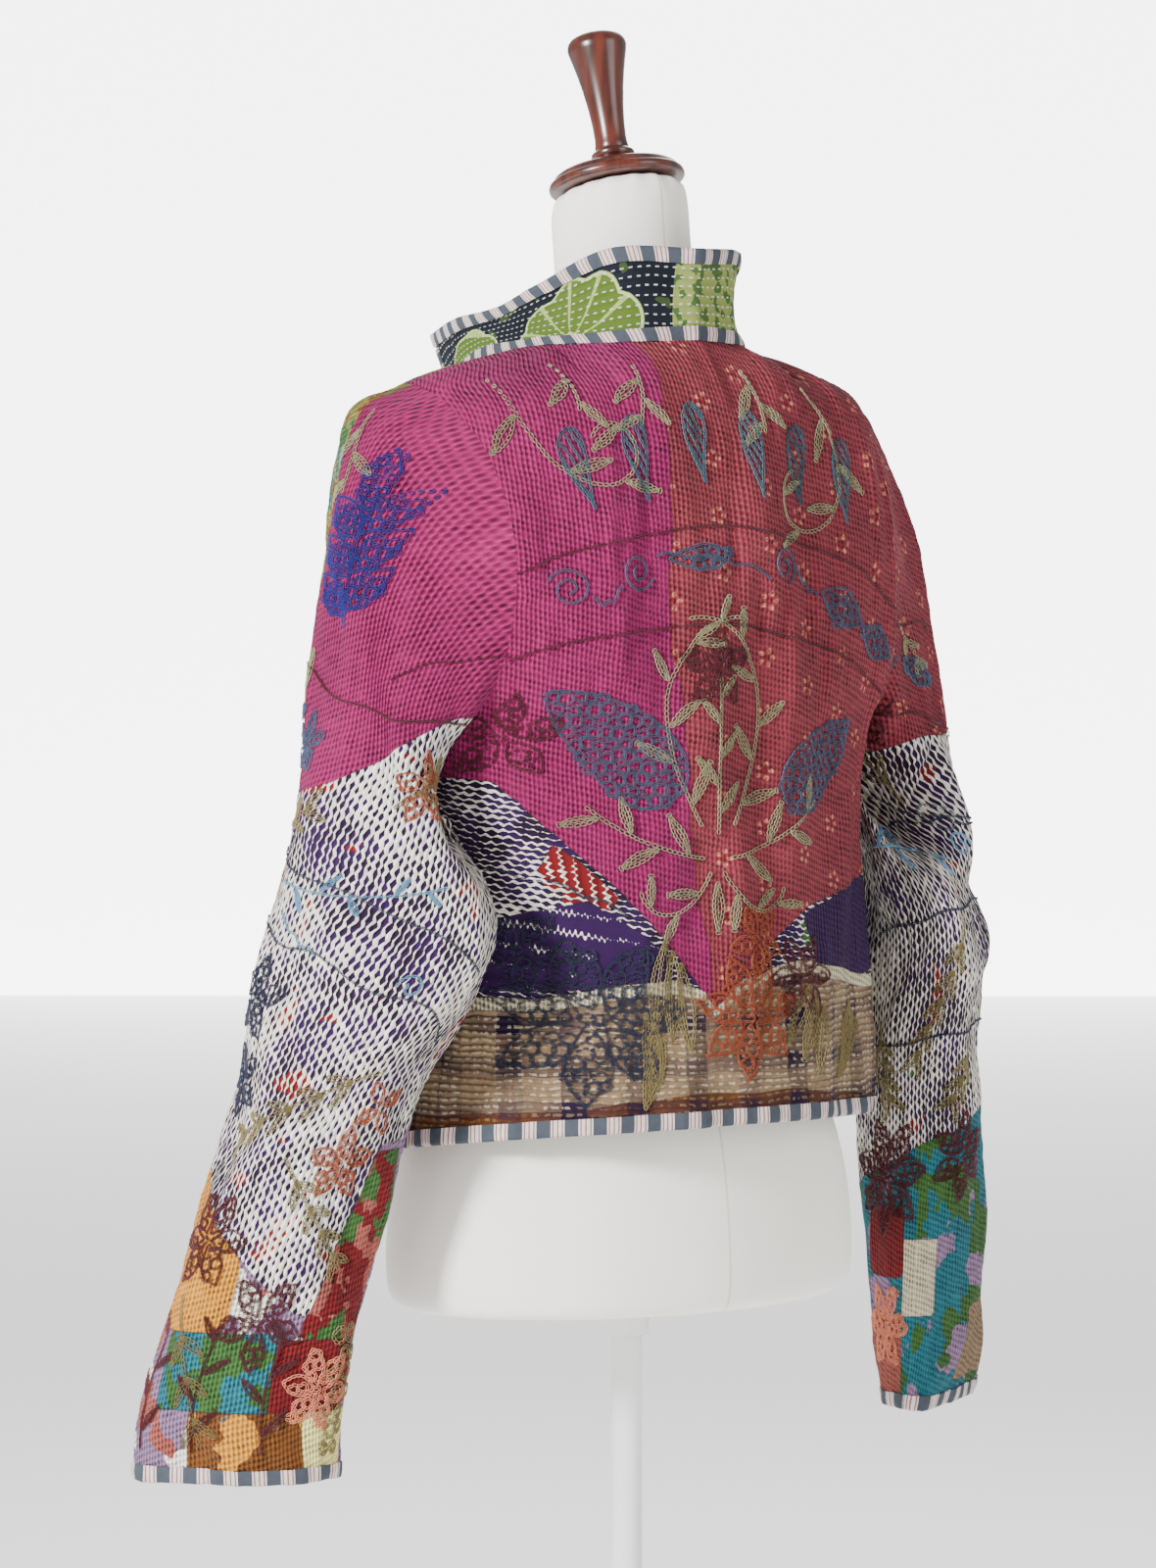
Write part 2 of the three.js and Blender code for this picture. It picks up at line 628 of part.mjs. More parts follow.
function neckSections() {
  const tilt = Math.tan(degrees(NECK_TILT));
  const foot = { ...NECK_FOOT, drop: 0 };
  const stem = steps(0, 1, 4).map((t) => ({
    z: mix(NECK_FOOT.z + 12, NECK_TOP.z, t),
    width: mix(55, NECK_RADIUS, Math.min(1, t * 3)),
    depth: mix(48, NECK_RADIUS / Math.cos(degrees(NECK_TILT)), Math.min(1, t * 3)),
    y: mix(2, NECK_TOP.y, t),
    drop: 0,
    tilt: tilt * t,
  }));
  return [foot, ...stem];
}

// A closed body through rings, with a fan at each end.
function loftGeometry(rings) {
  const columns = rings[0].length;
  const positions = rings.flat().flatMap((p) => [p.x, p.y, p.z]);
  const indices = [];
  for (let i = 0; i < rings.length - 1; i += 1) {
    for (let j = 0; j < columns; j += 1) {
      const next = (j + 1) % columns;
      const low = i * columns;
      const high = low + columns;
      indices.push(low + j, low + next, high + next, low + j, high + next, high + j);
    }
  }
  for (const [ring, flip] of [[0, true], [rings.length - 1, false]]) {
    const middle = new THREE.Vector3();
    rings[ring].forEach((p) => middle.addScaledVector(p, 1 / columns));
    const hub = positions.length / 3;
    positions.push(middle.x, middle.y, middle.z);
    for (let j = 0; j < columns; j += 1) {
      const a = ring * columns + j;
      const b = ring * columns + ((j + 1) % columns);
      indices.push(hub, flip ? b : a, flip ? a : b);
    }
  }
  return facingOut(positions, indices);
}

function turned(profile) {
  const outline = profile.map(([radius, height]) => new THREE.Vector2(radius, height));
  return new THREE.LatheGeometry(outline, ROUND_STEPS).rotateX(Math.PI / 2);
}

const FORM_BOTTOM = FORM_SECTIONS[0].z;
const SOCKET_TOP = FORM_BOTTOM - FACE_GAP;
const SOCKET_BOTTOM = SOCKET_TOP - SOCKET_HEIGHT;
const POLE_TOP = SOCKET_BOTTOM - FACE_GAP;
const POLE_BOTTOM = BASE_HEIGHT + FACE_GAP;

const BASE_PROFILE = [
  [0, 0], [BASE_RADIUS - 2, 0], [BASE_RADIUS, 2], [BASE_RADIUS, 7], [BASE_RADIUS - 3, 9],
  [60, 13], [30, BASE_HEIGHT], [0, BASE_HEIGHT],
];

function rod(radius, bottom, top) {
  return turned([[0, bottom], [radius, bottom], [radius, top], [0, top]]);
}

// ---------------------------------------------------------------- the object

const object = new THREE.Group();

function add(parent, name, geometry, color, roughness, metalness = 0) {
  const material = new THREE.MeshStandardMaterial({ color, roughness, metalness });
  const mesh = new THREE.Mesh(geometry, material);
  mesh.name = name;
  parent.add(mesh);
  return mesh;
}

const LINEN = "#f4efdc";
const WOOD = "#5a2413";
const STEEL = "#d8d8da";
const STRIPE = "#8b8a90";
const PATCHED = "#9a6a6c";
const MAGENTA = "#a8346c";
const FRONT_CLOTH = "#8f8a3e";
const NAVY = "#1b212b";
const CLOTH_ROUGHNESS = 0.9;

add(object, "stand_base", turned(BASE_PROFILE), STEEL, 0.35, 0.9);
add(object, "stand_pole", rod(POLE_RADIUS, POLE_BOTTOM, POLE_TOP), STEEL, 0.3, 0.9);
add(object, "stand_socket", rod(SOCKET_RADIUS, SOCKET_BOTTOM, SOCKET_TOP), STEEL, 0.35, 0.9);
const formSections = [...FORM_SECTIONS, ...shoulderSections(), ...neckSections()];
add(object, "form_body", loftGeometry(formSections.map(formRing)), LINEN, 0.95);

const head = new THREE.Group();
head.position.set(0, NECK_TOP.y, NECK_TOP.z);
head.rotation.x = degrees(NECK_TILT);
object.add(head);
const cap = add(head, "neck_cap", turned(CAP_PROFILE), WOOD, 0.35);
cap.position.z = FACE_GAP;
const finial = add(head, "finial", turned(FINIAL_PROFILE), WOOD, 0.3);
finial.position.z = CAP_PROFILE[CAP_PROFILE.length - 1][1] + 2 * FACE_GAP;

const garment = new THREE.Group();
object.add(garment);
add(garment, "jacket_back", backGeometry, MAGENTA, CLOTH_ROUGHNESS);
add(garment, "collar", collarGeometry, NAVY, CLOTH_ROUGHNESS);
add(garment, "binding_collar_top", bandOnCollar(COLLAR_ALONG, [1 - BAND_SHARE, 1]), STRIPE, CLOTH_ROUGHNESS);
add(garment, "binding_collar_seam", bandOnCollar(COLLAR_ALONG, [0, BAND_SHARE]), STRIPE, CLOTH_ROUGHNESS);
add(garment, "binding_collar_end_left", collarEndBand(1), STRIPE, CLOTH_ROUGHNESS);
add(garment, "binding_collar_end_right", collarEndBand(-1), STRIPE, CLOTH_ROUGHNESS);
const hem = wallOn(hemSurface, hemNormals, HEM_COLUMNS, [0, 1], BAND_LOW, BAND_HIGH);
add(garment, "binding_hem", hem, STRIPE, CLOTH_ROUGHNESS);

const PAIRS = [
  ["jacket_front", frontGeometry, FRONT_CLOTH],
  ["sleeve", sleeveGeometry, PATCHED],
  ["binding_front", frontEdgeBand(), STRIPE],
  ["binding_cuff", cuffBand(), STRIPE],
];
for (const [name, geometry, color] of PAIRS) {
  add(garment, `${name}_left`, geometry, color, CLOTH_ROUGHNESS);
  add(garment, `${name}_right`, mirrored(geometry), color, CLOTH_ROUGHNESS);
}

export default object;
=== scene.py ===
"""A cropped patchwork jacket of quilted and embroidered cotton on a limbless dress form."""

import json
import math

import bpy
import numpy as np
from bpy.props import FloatProperty, FloatVectorProperty, PointerProperty
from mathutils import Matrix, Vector

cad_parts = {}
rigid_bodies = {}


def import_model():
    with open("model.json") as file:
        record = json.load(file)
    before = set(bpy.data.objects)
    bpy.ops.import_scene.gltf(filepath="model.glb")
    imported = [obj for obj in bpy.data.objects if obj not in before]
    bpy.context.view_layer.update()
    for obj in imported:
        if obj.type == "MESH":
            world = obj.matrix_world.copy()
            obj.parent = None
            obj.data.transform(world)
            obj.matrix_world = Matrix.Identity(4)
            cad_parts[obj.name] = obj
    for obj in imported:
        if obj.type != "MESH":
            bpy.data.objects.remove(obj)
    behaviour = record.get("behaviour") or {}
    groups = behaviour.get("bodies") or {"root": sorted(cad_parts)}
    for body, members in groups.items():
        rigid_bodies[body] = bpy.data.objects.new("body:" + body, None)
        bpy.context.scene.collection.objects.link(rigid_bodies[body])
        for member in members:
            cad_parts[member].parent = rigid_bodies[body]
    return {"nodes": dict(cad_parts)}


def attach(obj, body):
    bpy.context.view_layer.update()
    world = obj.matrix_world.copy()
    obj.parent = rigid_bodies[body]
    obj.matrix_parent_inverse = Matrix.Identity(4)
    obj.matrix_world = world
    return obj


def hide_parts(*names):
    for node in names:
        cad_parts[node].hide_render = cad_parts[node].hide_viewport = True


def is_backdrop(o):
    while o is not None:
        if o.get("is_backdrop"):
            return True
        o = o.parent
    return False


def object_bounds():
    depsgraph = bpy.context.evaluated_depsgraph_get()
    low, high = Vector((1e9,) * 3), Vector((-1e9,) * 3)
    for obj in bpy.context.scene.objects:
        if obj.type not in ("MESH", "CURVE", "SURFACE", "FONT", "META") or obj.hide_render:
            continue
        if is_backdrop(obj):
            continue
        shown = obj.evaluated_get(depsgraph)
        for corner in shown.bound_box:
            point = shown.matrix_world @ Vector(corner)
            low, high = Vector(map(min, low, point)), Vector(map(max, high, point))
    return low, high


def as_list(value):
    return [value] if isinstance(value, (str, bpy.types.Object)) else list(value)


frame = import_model()

bl_info = {
    "name": "Patchwork Jacket on a Dress Form",
    "version": (1, 0, 0),
    "blender": (4, 5, 0),
    "location": "View3D > Sidebar > Jacket",
    "description": "Builds a cropped quilted jacket and the dress form that it stands on",
    "category": "Object",
}

MM = 0.001


# ---------------------------------------------------------------- colours and sizes


def linear(code):
    """An sRGB hex colour as linear red, green and blue."""
    parts = [int(code[k : k + 2], 16) / 255 for k in (1, 3, 5)]
    return tuple(c / 12.92 if c <= 0.04045 else ((c + 0.055) / 1.055) ** 2.4 for c in parts)


def dye(name, code):
    return FloatVectorProperty(
        name=name, description=f"Colour of the {name.lower()}", subtype="COLOR", size=3, min=0, max=1, default=linear(code)
    )


def length(name, description, millimetres):
    return FloatProperty(name=name, description=description, default=millimetres * MM, min=0, unit="LENGTH")


class ClothColours(bpy.types.PropertyGroup):
    """Dyes of the patches, the collar and the tapes."""

    magenta: dye("Magenta cotton", "#851D51")
    brick: dye("Brick red cotton", "#7D303A")
    white: dye("White stitched cotton", "#EDE8DA")
    plum: dye("Dark plum cotton", "#22112B")
    purple: dye("Purple cotton", "#2D133F")
    tan: dye("Tan plaid cotton", "#806950")
    cream: dye("Cream tape", "#BFB499")
    orange: dye("Orange cotton", "#CA872D")
    brown: dye("Brown cotton", "#6C401B")
    turquoise: dye("Turquoise cotton", "#216470")
    green: dye("Green cotton", "#385C2C")
    lilac: dye("Lilac cotton", "#856A88")
    crimson: dye("Deep red cotton", "#6A161A")
    coral: dye("Coral cotton", "#984F46")
    yellow: dye("Pale yellow cotton", "#E3DA8C")
    navy: dye("Navy collar cotton", "#0D121B")
    lime: dye("Lime print", "#7F8B49")
    ochre: dye("Ochre printed cotton", "#8F7A32")
    slate: dye("Slate stripe", "#3E444D")
    chalk: dye("Chalk stripe", "#CDC3BD")
    linen: dye("Linen cover", "#FAF7EE")


class ThreadColours(bpy.types.PropertyGroup):
    """Colours of the embroidery threads."""

    sage: dye("Sage thread", "#8A8564")
    teal: dye("Teal thread", "#2B5563")
    wine: dye("Dark red thread", "#4C0A18")
    dusk: dye("Slate blue thread", "#3C4A64")
    royal: dye("Royal blue thread", "#201C7A")
    peach: dye("Peach thread", "#CC7D60")
    ink: dye("Navy thread", "#151B37")
    sky: dye("Sky blue thread", "#6490B0")
    olive: dye("Olive thread", "#786A3F")
    rust: dye("Rust thread", "#91401E")


class ClothSizes(bpy.types.PropertyGroup):
    """Sizes of the cloth and of its stitches."""

    step: length("Mesh step", "Distance between two points of the cloth's mesh", 4.6)
    wall: length("Cloth thickness", "Thickness of the quilted layers", 2.4)
    pucker: length("Pucker", "Height of the small puckers between the quilting stitches", 1.15)
    rib: length("Rib pitch", "Distance between two rows of quilting stitches", 3.2)
    tape: length("Tape width", "Width of the striped binding on a face of the cloth", 10)
    stripe: length("Stripe pitch", "Distance between two white stripes of the binding", 19.5)
    link: length("Chain link", "Length of one chain stitch", 4.4)
    thread: length("Thread", "Thickness of the embroidery thread", 0.85)


# ---------------------------------------------------------------- mesh and material helpers


def add_node(tree, kind, inputs=None, **settings):
    """A shader node with its settings; inputs maps a socket's name or number to a value or a link."""
    made = tree.nodes.new(kind)
    for key, value in settings.items():
        setattr(made, key, value)
    for key, value in (inputs or {}).items():
        if isinstance(value, bpy.types.NodeSocket):
            tree.links.new(value, made.inputs[key])
        else:
            made.inputs[key].default_value = value
    return made


def new_material(name):
    material = bpy.data.materials.new(name)
    material.use_nodes = True
    shader = material.node_tree.nodes["Principled BSDF"]
    return material, material.node_tree, shader


def maths(tree, operation, first, second=0.0, third=0.0):
    values = {0: first, 1: second, 2: third}
    return add_node(tree, "ShaderNodeMath", values, operation=operation).outputs[0]


def blend(tree, share, below, above, mode="MIX"):
    """Colour above over colour below, by a share from 0 to 1."""
    values = {0: share, 6: below, 7: above}
    return add_node(tree, "ShaderNodeMix", values, data_type="RGBA", blend_type=mode).outputs[2]


def opaque(colour):
    return (*tuple(colour)[:3], 1.0)


def cloth_place(tree):
    """The cloth's own coordinates in millimetres, across and up."""
    own = add_node(tree, "ShaderNodeUVMap", uv_map="cloth").outputs[0]
    parts = add_node(tree, "ShaderNodeSeparateXYZ", {0: own})
    across = maths(tree, "MULTIPLY", parts.outputs[0], 1000.0)
    up = maths(tree, "MULTIPLY", parts.outputs[1], 1000.0)
    return across, up


def as_point(tree, across, up, scale=1.0):
    a = maths(tree, "MULTIPLY", across, scale)
    b = maths(tree, "MULTIPLY", up, scale)
    return add_node(tree, "ShaderNodeCombineXYZ", {0: a, 1: b}).outputs[0]


def deselect():
    for o in bpy.context.view_layer.objects:
        o.select_set(False)


def only(piece):
    deselect()
    piece.select_set(True)
    bpy.context.view_layer.objects.active = piece


def finish_piece(piece, material, replaced=()):
    piece.data.materials.clear()
    piece.data.materials.append(material)
    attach(piece, "root")
    if replaced:
        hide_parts(*replaced)
    return piece


def mesh_piece(name, points, faces, angle=50):
    """An object from points in millimetres, shaded smooth except at sharp corners."""
    mesh = bpy.data.meshes.new(name)
    mesh.from_pydata((np.asarray(points) * MM).tolist(), [], np.asarray(faces).tolist())
    mesh.update()
    piece = bpy.data.objects.new(name, mesh)
    bpy.context.scene.collection.objects.link(piece)
    only(piece)
    bpy.ops.object.shade_smooth_by_angle(angle=math.radians(angle))
    return piece


def volume_of(points, faces):
    a, b, c = (points[faces[:, k]] for k in (0, 1, 2))
    d = points[faces[:, 3]]
    return np.sum(a * np.cross(b, c)) + np.sum(a * np.cross(c, d))


def wall_piece(name, outer, inner, tube=False, uv=None, marks=None):
    """A closed cloth wall between two grids of points, a sheet or a tube, with its own coordinates."""
    rows, columns = outer.shape[:2]
    count = rows * columns
    points = np.concatenate([outer.reshape(-1, 3), inner.reshape(-1, 3)])
    last = columns if tube else columns - 1
    i, j = np.meshgrid(np.arange(rows - 1), np.arange(last), indexing="ij")
    i, j = i.ravel(), j.ravel()

    def quads(corners):
        """Corner lists of (layer, row, column); gives vertex numbers and places in the coordinate grid."""
        vertex = [layer * count + r * columns + c % columns for layer, r, c in corners]
        place = [r * (columns + 1) + c for layer, r, c in corners]
        return np.stack(vertex, axis=1), np.stack(place, axis=1)

    sets = [
        quads([(0, i, j), (0, i, j + 1), (0, i + 1, j + 1), (0, i + 1, j)]),
        quads([(1, i, j), (1, i + 1, j), (1, i + 1, j + 1), (1, i, j + 1)]),
    ]
    k = np.arange(last)
    zero, end = np.zeros_like(k), np.full_like(k, rows - 1)
    sets.append(quads([(0, zero, k), (1, zero, k), (1, zero, k + 1), (0, zero, k + 1)]))
    sets.append(quads([(0, end, k), (0, end, k + 1), (1, end, k + 1), (1, end, k)]))
    if not tube:
        r = np.arange(rows - 1)
        first, final = np.zeros_like(r), np.full_like(r, columns - 1)
        sets.append(quads([(0, r, first), (0, r + 1, first), (1, r + 1, first), (1, r, first)]))
        sets.append(quads([(0, r, final), (1, r, final), (1, r + 1, final), (0, r + 1, final)]))
    faces = np.concatenate([s[0] for s in sets])
    places = np.concatenate([s[1] for s in sets])
    if volume_of(points, faces) < 0:
        faces, places = faces[:, ::-1], places[:, ::-1]
    piece = mesh_piece(name, points, faces)
    if uv is not None:
        if uv.shape[1] == columns:
            uv = np.concatenate([uv, uv[:, -1:]], axis=1)
        flat = uv.reshape(-1, 2)[places.ravel()] * MM
        layer = piece.data.uv_layers.new(name="cloth")
        layer.data.foreach_set("uv", flat.astype(np.float32).ravel())
    for key, values in (marks or {}).items():
        mark = piece.data.attributes.new(key, "FLOAT", "POINT")
        mark.data.foreach_set("value", np.tile(values.ravel(), 2).astype(np.float32))
    return piece


NECK_POINT = (80, 10, 1444)
SHOULDER_TIP = (185, -6, 1416)
SHOULDER_FALL = 1.4
NECK_SHARE = 0.44

# zMid, zSide, side, mid, edge, open
BACK_ROWS = np.array([
    (911, 894, 190, 145, 0, 0),
    (980, 968, 187, 142, 0, 0),
    (1058, 1052, 185, 139, 0, 0),
    (1138, 1138, 184, 138, 0, 0),
    (1215, 1205, 172, 140, 78, 0),
    (1295, 1285, 164, 138, 98, 0),
    (1375, 1358, 169, 124, 78, 0),
    (1421, 1399, 178, 103, 38, 0),
], dtype=float)
FRONT_ROWS = np.array([
    (900, 894, 190, 150, 0, 54),
    (972, 968, 187, 150, 0, 50),
    (1053, 1052, 185, 150, 0, 46),
    (1138, 1138, 184, 151, 0, 43),
    (1208, 1205, 172, 154, 78, 41),
    (1278, 1285, 164, 157, 94, 40),
    (1340, 1358, 169, 159, 76, 40),
    (1376, 1399, 178, 158, 42, 40),
], dtype=float)
ARMPIT_ROW = 3
TOP_ROW = 8
ARMPIT = ARMPIT_ROW / TOP_ROW

BACK_NECK = np.array(
    [(0, 0, 82, 1447), (0.5, 46, 69, 1445), (0.85, 73, 38, 1444), (1, 80, 10, 1444)], dtype=float
)
FRONT_NECK = np.array(
    [(0, 40, -155, 1396), (0.3, 62, -122, 1417), (0.65, 78, -66, 1436), (1, 80, 10, 1444)], dtype=float
)

# at, over x y z, under x y z, turn, back, front
SLEEVE_SECTIONS = np.array([
    (0, 185, -6, 1416, 184, 0, 1138, 0, 92, 90),
    (0.1, 221, -14, 1395, 199, 8, 1118, 5, 62, 66),
    (0.22, 246, -8, 1325, 199, 50, 1098, 22, 35, 50),
    (0.36, 255, -12, 1218, 196, 98, 1078, 50, 31, 46),
    (0.5, 259, -34, 1115, 200, 118, 1045, 68, 36, 42),
    (0.62, 273, -46, 1015, 209, 105, 1000, 67, 42, 42),
    (0.72, 292, -44, 942, 224, 68, 940, 59, 46, 44),
    (0.86, 321, -62, 840, 237, 37, 840, 50, 46, 43),
    (0.95, 352, -78, 722, 250, 14, 722, 42, 40, 39),
    (1, 361, -75, 673, 249, 7, 673, 36, 29, 29),
], dtype=float)
SLEEVE_BLEND = 0.22
COLLAR_TOP = np.array([
    (0, 50, -171, 1457), (0.3, 71, -108, 1466), (0.52, 76, -50, 1472),
    (0.68, 74, 0, 1487), (0.84, 56, 58, 1508), (1, 0, 88, 1508),
], dtype=float)
BACK_FOLDS = [((62, 1400), (78, 1120), 24, 6), ((-58, 1385), (-96, 1080), 26, 7), ((-8, 1330), (-24, 950), 22, 4),
              ((128, 1190), (70, 960), 30, -6), ((-150, 1170), (-105, 930), 26, 7)]
FRONT_FOLDS = [((112, 1330), (92, 1010), 26, 7), ((150, 1120), (128, 905), 26, -6)]
SLEEVE_FOLDS = [((0.08, 0.46), (0.42, 0.56), 0.045, 8), ((0.06, 0.62), (0.36, 0.55), 0.04, -7),
                ((0.12, 0.7), (0.44, 0.78), 0.04, 6), ((0.56, 0.5), (0.9, 0.6), 0.045, 7), ((0.3, 0.12), (0.22, 0.4), 0.05, 6)]


def smooth(t):
    c = np.clip(t, 0, 1)
    return c * c * (3 - 2 * c)


def table_at(rows, t):
    """Smooth curve through keyed rows, for an array of parameters; the first column is the key."""
    t = np.atleast_1d(np.asarray(t, dtype=float))
    keys = rows[:, 0]
    k = np.clip(np.searchsorted(keys, t, side="left") - 1, 0, len(rows) - 2)
    k = np.where(t > keys[np.clip(k + 1, 0, len(rows) - 1)], np.minimum(k + 1, len(rows) - 2), k)
    span = keys[k + 1] - keys[k]
    s = np.clip((t - keys[k]) / span, 0, 1)
    last = len(rows) - 1

    def slope(i):
        a, b = np.clip(i + 1, 0, last), np.clip(i - 1, 0, last)
        return (rows[a, 1:] - rows[b, 1:]) / (keys[a] - keys[b])[:, None] * span[:, None]

    s = s[:, None]
    s2, s3 = s * s, s * s * s
    return (rows[k, 1:] * (2 * s3 - 3 * s2 + 1) + slope(k) * (s3 - 2 * s2 + s)
            + rows[k + 1, 1:] * (3 * s2 - 2 * s3) + slope(k + 1) * (s3 - s2))


def shoulder_seam(share):
    share = np.asarray(share, dtype=float)
    a, b = np.array(NECK_POINT, dtype=float), np.array(SHOULDER_TIP, dtype=float)
    p = a + (b - a) * share[:, None]
    p[:, 2] = a[2] + (b[2] - a[2]) * share ** SHOULDER_FALL
    return p


def top_edge(neck, share):
    share = np.asarray(share, dtype=float)
    on_neck = table_at(neck, np.clip(share / NECK_SHARE, 0, 1))
    on_seam = shoulder_seam(np.clip((share - NECK_SHARE) / (1 - NECK_SHARE), 0, 1))
    return np.where((share >= NECK_SHARE)[:, None], on_seam, on_neck)


def row_point(row, share, face):
    z_mid, z_side, side, mid, edge, opening = row
    sweep = math.acos(max(-1, min(1, edge / mid)))
    x = opening + (side - opening) * np.sin(share * sweep) / math.sin(sweep)
    z = z_mid + (z_side - z_mid) * share * share
    return np.stack([x, face * mid * np.cos(share * sweep), z], axis=1)


def half_panel(rows, neck, face, share, height):
    """One row of a half panel: share is an array, height a number from hem (0) to top edge (1)."""
    share = np.asarray(share, dtype=float)
    place = min(1, max(0, height)) * TOP_ROW
    k = min(TOP_ROW - 1, int(place))
    last = ARMPIT_ROW if k < ARMPIT_ROW else TOP_ROW
    controls = []
    for index in (k - 1, k, k + 1, k + 2):
        i = min(last, max(0, index))
        p = top_edge(neck, share) if i == TOP_ROW else row_point(rows[i], share, face)
        if index > TOP_ROW:
            before = row_point(rows[TOP_ROW - 1], share, face)
            over = before.copy()
            over[:, 1] = 2 * top_edge(neck, share)[:, 1] - before[:, 1]
            p = np.where((share >= NECK_SHARE)[:, None], over, p)
        controls.append(p)
    p0, p1, p2, p3 = controls
    t = place - k
    return spline_point(p0, p1, p2, p3, t)


def spline_point(p0, p1, p2, p3, t):
    """The point at share t between p1 and p2 on a smooth curve through four points."""
    return 0.5 * (
        2 * p1 + (p2 - p0) * t + (
            2 * p0 - 5 * p1 + 4 * p2 - p3
        ) * t * t + (3 * p1 - p0 - 3 * p2 + p3) * t ** 3
    )


def fold_depth(folds, a, b):
    depth = np.zeros(np.broadcast(a, b).shape)
    for (ax, ay), (bx, by), width, size in folds:
        dx, dy = bx - ax, by - ay
        t = np.clip(((a - ax) * dx + (b - ay) * dy) / (dx * dx + dy * dy), 0, 1)
        off = np.hypot(a - ax - dx * t, b - ay - dy * t)
        depth += size * np.sin(np.pi * (0.12 + 0.76 * t)) * np.exp(-(off / width) ** 2)
    return depth


def grid_normals(points, tube=False):
    """Outward unit normals of a grid whose columns run to the right and rows upwards, seen from outside."""
    if tube:
        du = np.roll(points, -1, axis=1) - np.roll(points, 1, axis=1)
    else:
        du = np.gradient(points, axis=1)
    dv = np.gradient(points, axis=0)
    n = np.cross(du, dv)
    return n / np.maximum(np.linalg.norm(n, axis=2, keepdims=True), 1e-9)


def back_grid(us, vs):
    """us from -1 (wearer's left, +X) to 1; returns the grid in mm."""
    us = np.asarray(us, dtype=float)
    rows = []
    for v in vs:
        p = half_panel(BACK_ROWS, BACK_NECK, 1, np.abs(us), v)
        p[:, 0] *= np.where(us < 0, 1, -1)
        rows.append(p)
    p = np.array(rows)
    calm = smooth((1 - np.abs(us)) / 0.12)[None, :] * smooth((1 - np.asarray(vs)) / 0.1)[:, None]
    return p - grid_normals(p) * (fold_depth(BACK_FOLDS, p[..., 0], p[..., 2]) * calm)[..., None]


def front_grid(us, vs):
    us = np.asarray(us, dtype=float)
    p = np.array([half_panel(FRONT_ROWS, FRONT_NECK, -1, us, v) for v in vs])
    calm = smooth((1 - np.abs(us)) / 0.12)[None, :] * smooth((1 - np.asarray(vs)) / 0.1)[:, None]
    return p - grid_normals(p) * (fold_depth(FRONT_FOLDS, p[..., 0], p[..., 2]) * calm)[..., None]


def armhole(around):
    out = []
    for a in around:
        back = a <= 0.5
        h = ARMPIT + (1 - ARMPIT) * (a * 2 if back else (1 - a) * 2)
        rows, neck, face = (BACK_ROWS, BACK_NECK, 1) if back else (FRONT_ROWS, FRONT_NECK, -1)
        out.append(half_panel(rows, neck, face, np.array([1.0]), h)[0])
    return np.array(out)


def sleeve_section(around, along):
    ox, oy, oz, ux, uy, uz, turn, rear, fore = table_at(SLEEVE_SECTIONS, along)[0]
    angle = around * 2 * np.pi
    s = np.sin(angle)
    bulge = s * np.where(s > 0, rear, fore)
    swing = (1 - np.cos(angle)) / 2
    h = math.radians(turn)
    return np.stack([ux + (ox - ux) * swing + math.sin(h) * bulge,
                     uy + (oy - uy) * swing + math.cos(h) * bulge,
                     uz + (oz - uz) * swing], axis=1)


def sleeve_grid(arounds, alongs):
    """Left sleeve; rows run down the sleeve, columns round it (a tube)."""
    arounds = np.asarray(arounds, dtype=float)
    hole, first = armhole(arounds), sleeve_section(arounds, 0)
    rows = []
    for along in alongs:
        tube = sleeve_section(arounds, along)
        if along < SLEEVE_BLEND:
            start = hole + tube - first
            tube = start + (tube - start) * float(smooth(along / SLEEVE_BLEND))
        rows.append(tube)
    p = np.array(rows)
    calm = smooth(np.asarray(alongs) / 0.12) * smooth((1 - np.asarray(alongs)) / 0.08)
    depth = fold_depth(SLEEVE_FOLDS, arounds[None, :], np.asarray(alongs)[:, None]) * calm[:, None]
    return p - sleeve_normals(p) * depth[..., None]


def sleeve_normals(p):
    return -grid_normals(p[::-1], tube=True)[::-1]


BACK_SPLIT = 0.42


def neckline(along):
    along = np.asarray(along, dtype=float)
    reach = np.abs(along)
    behind = top_edge(BACK_NECK, np.minimum(reach / BACK_SPLIT * NECK_SHARE, NECK_SHARE - 1e-9))
    before = top_edge(FRONT_NECK, np.minimum(NECK_SHARE * (1 - reach) / (1 - BACK_SPLIT), NECK_SHARE - 1e-9))
    p = np.where((reach < BACK_SPLIT)[:, None], behind, before)
    p[:, 0] *= np.sign(along)
    return p


def collar_grid(alongs, heights):
    alongs = np.asarray(alongs, dtype=float)
    foot = neckline(alongs)
    top = table_at(COLLAR_TOP, 1 - np.abs(alongs))
    top[:, 0] *= np.sign(alongs)
    away = foot.copy()
    away[:, 2] = 0
    away /= np.linalg.norm(away, axis=1, keepdims=True)
    return np.array([foot + (top - foot) * h - away * math.sin(math.pi * h) * 2.5 for h in heights])


# ---------------------------------------------------------------- the cloth at real size


# Waves of the puckered cloth: wavelength across and up in millimetres, phase and share of height.
PUCKERS = [
    (13, 140, 0.4, 0.42),
    (-17, 95, 1.9, 0.36),
    (9.5, 210, 2.6, 0.26),
    (24, -150, 4.1, 0.62),
    (70, 14, 5.2, 0.16),
    (-33, 17, 3.0, 0.16),
    (46, 150, 0.9, 0.75),
    (-61, 190, 3.3, 0.75),
]
# Slow waves of the stiff cloth: wavelengths, phase and depth in millimetres.
DRAPES = [
    (150, 330, 0.7, 1.3),
    (-95, 260, 2.4, 1.2),
    (118, -240, 4.4, 1.0),
    (62, 420, 5.3, 1.3),
]


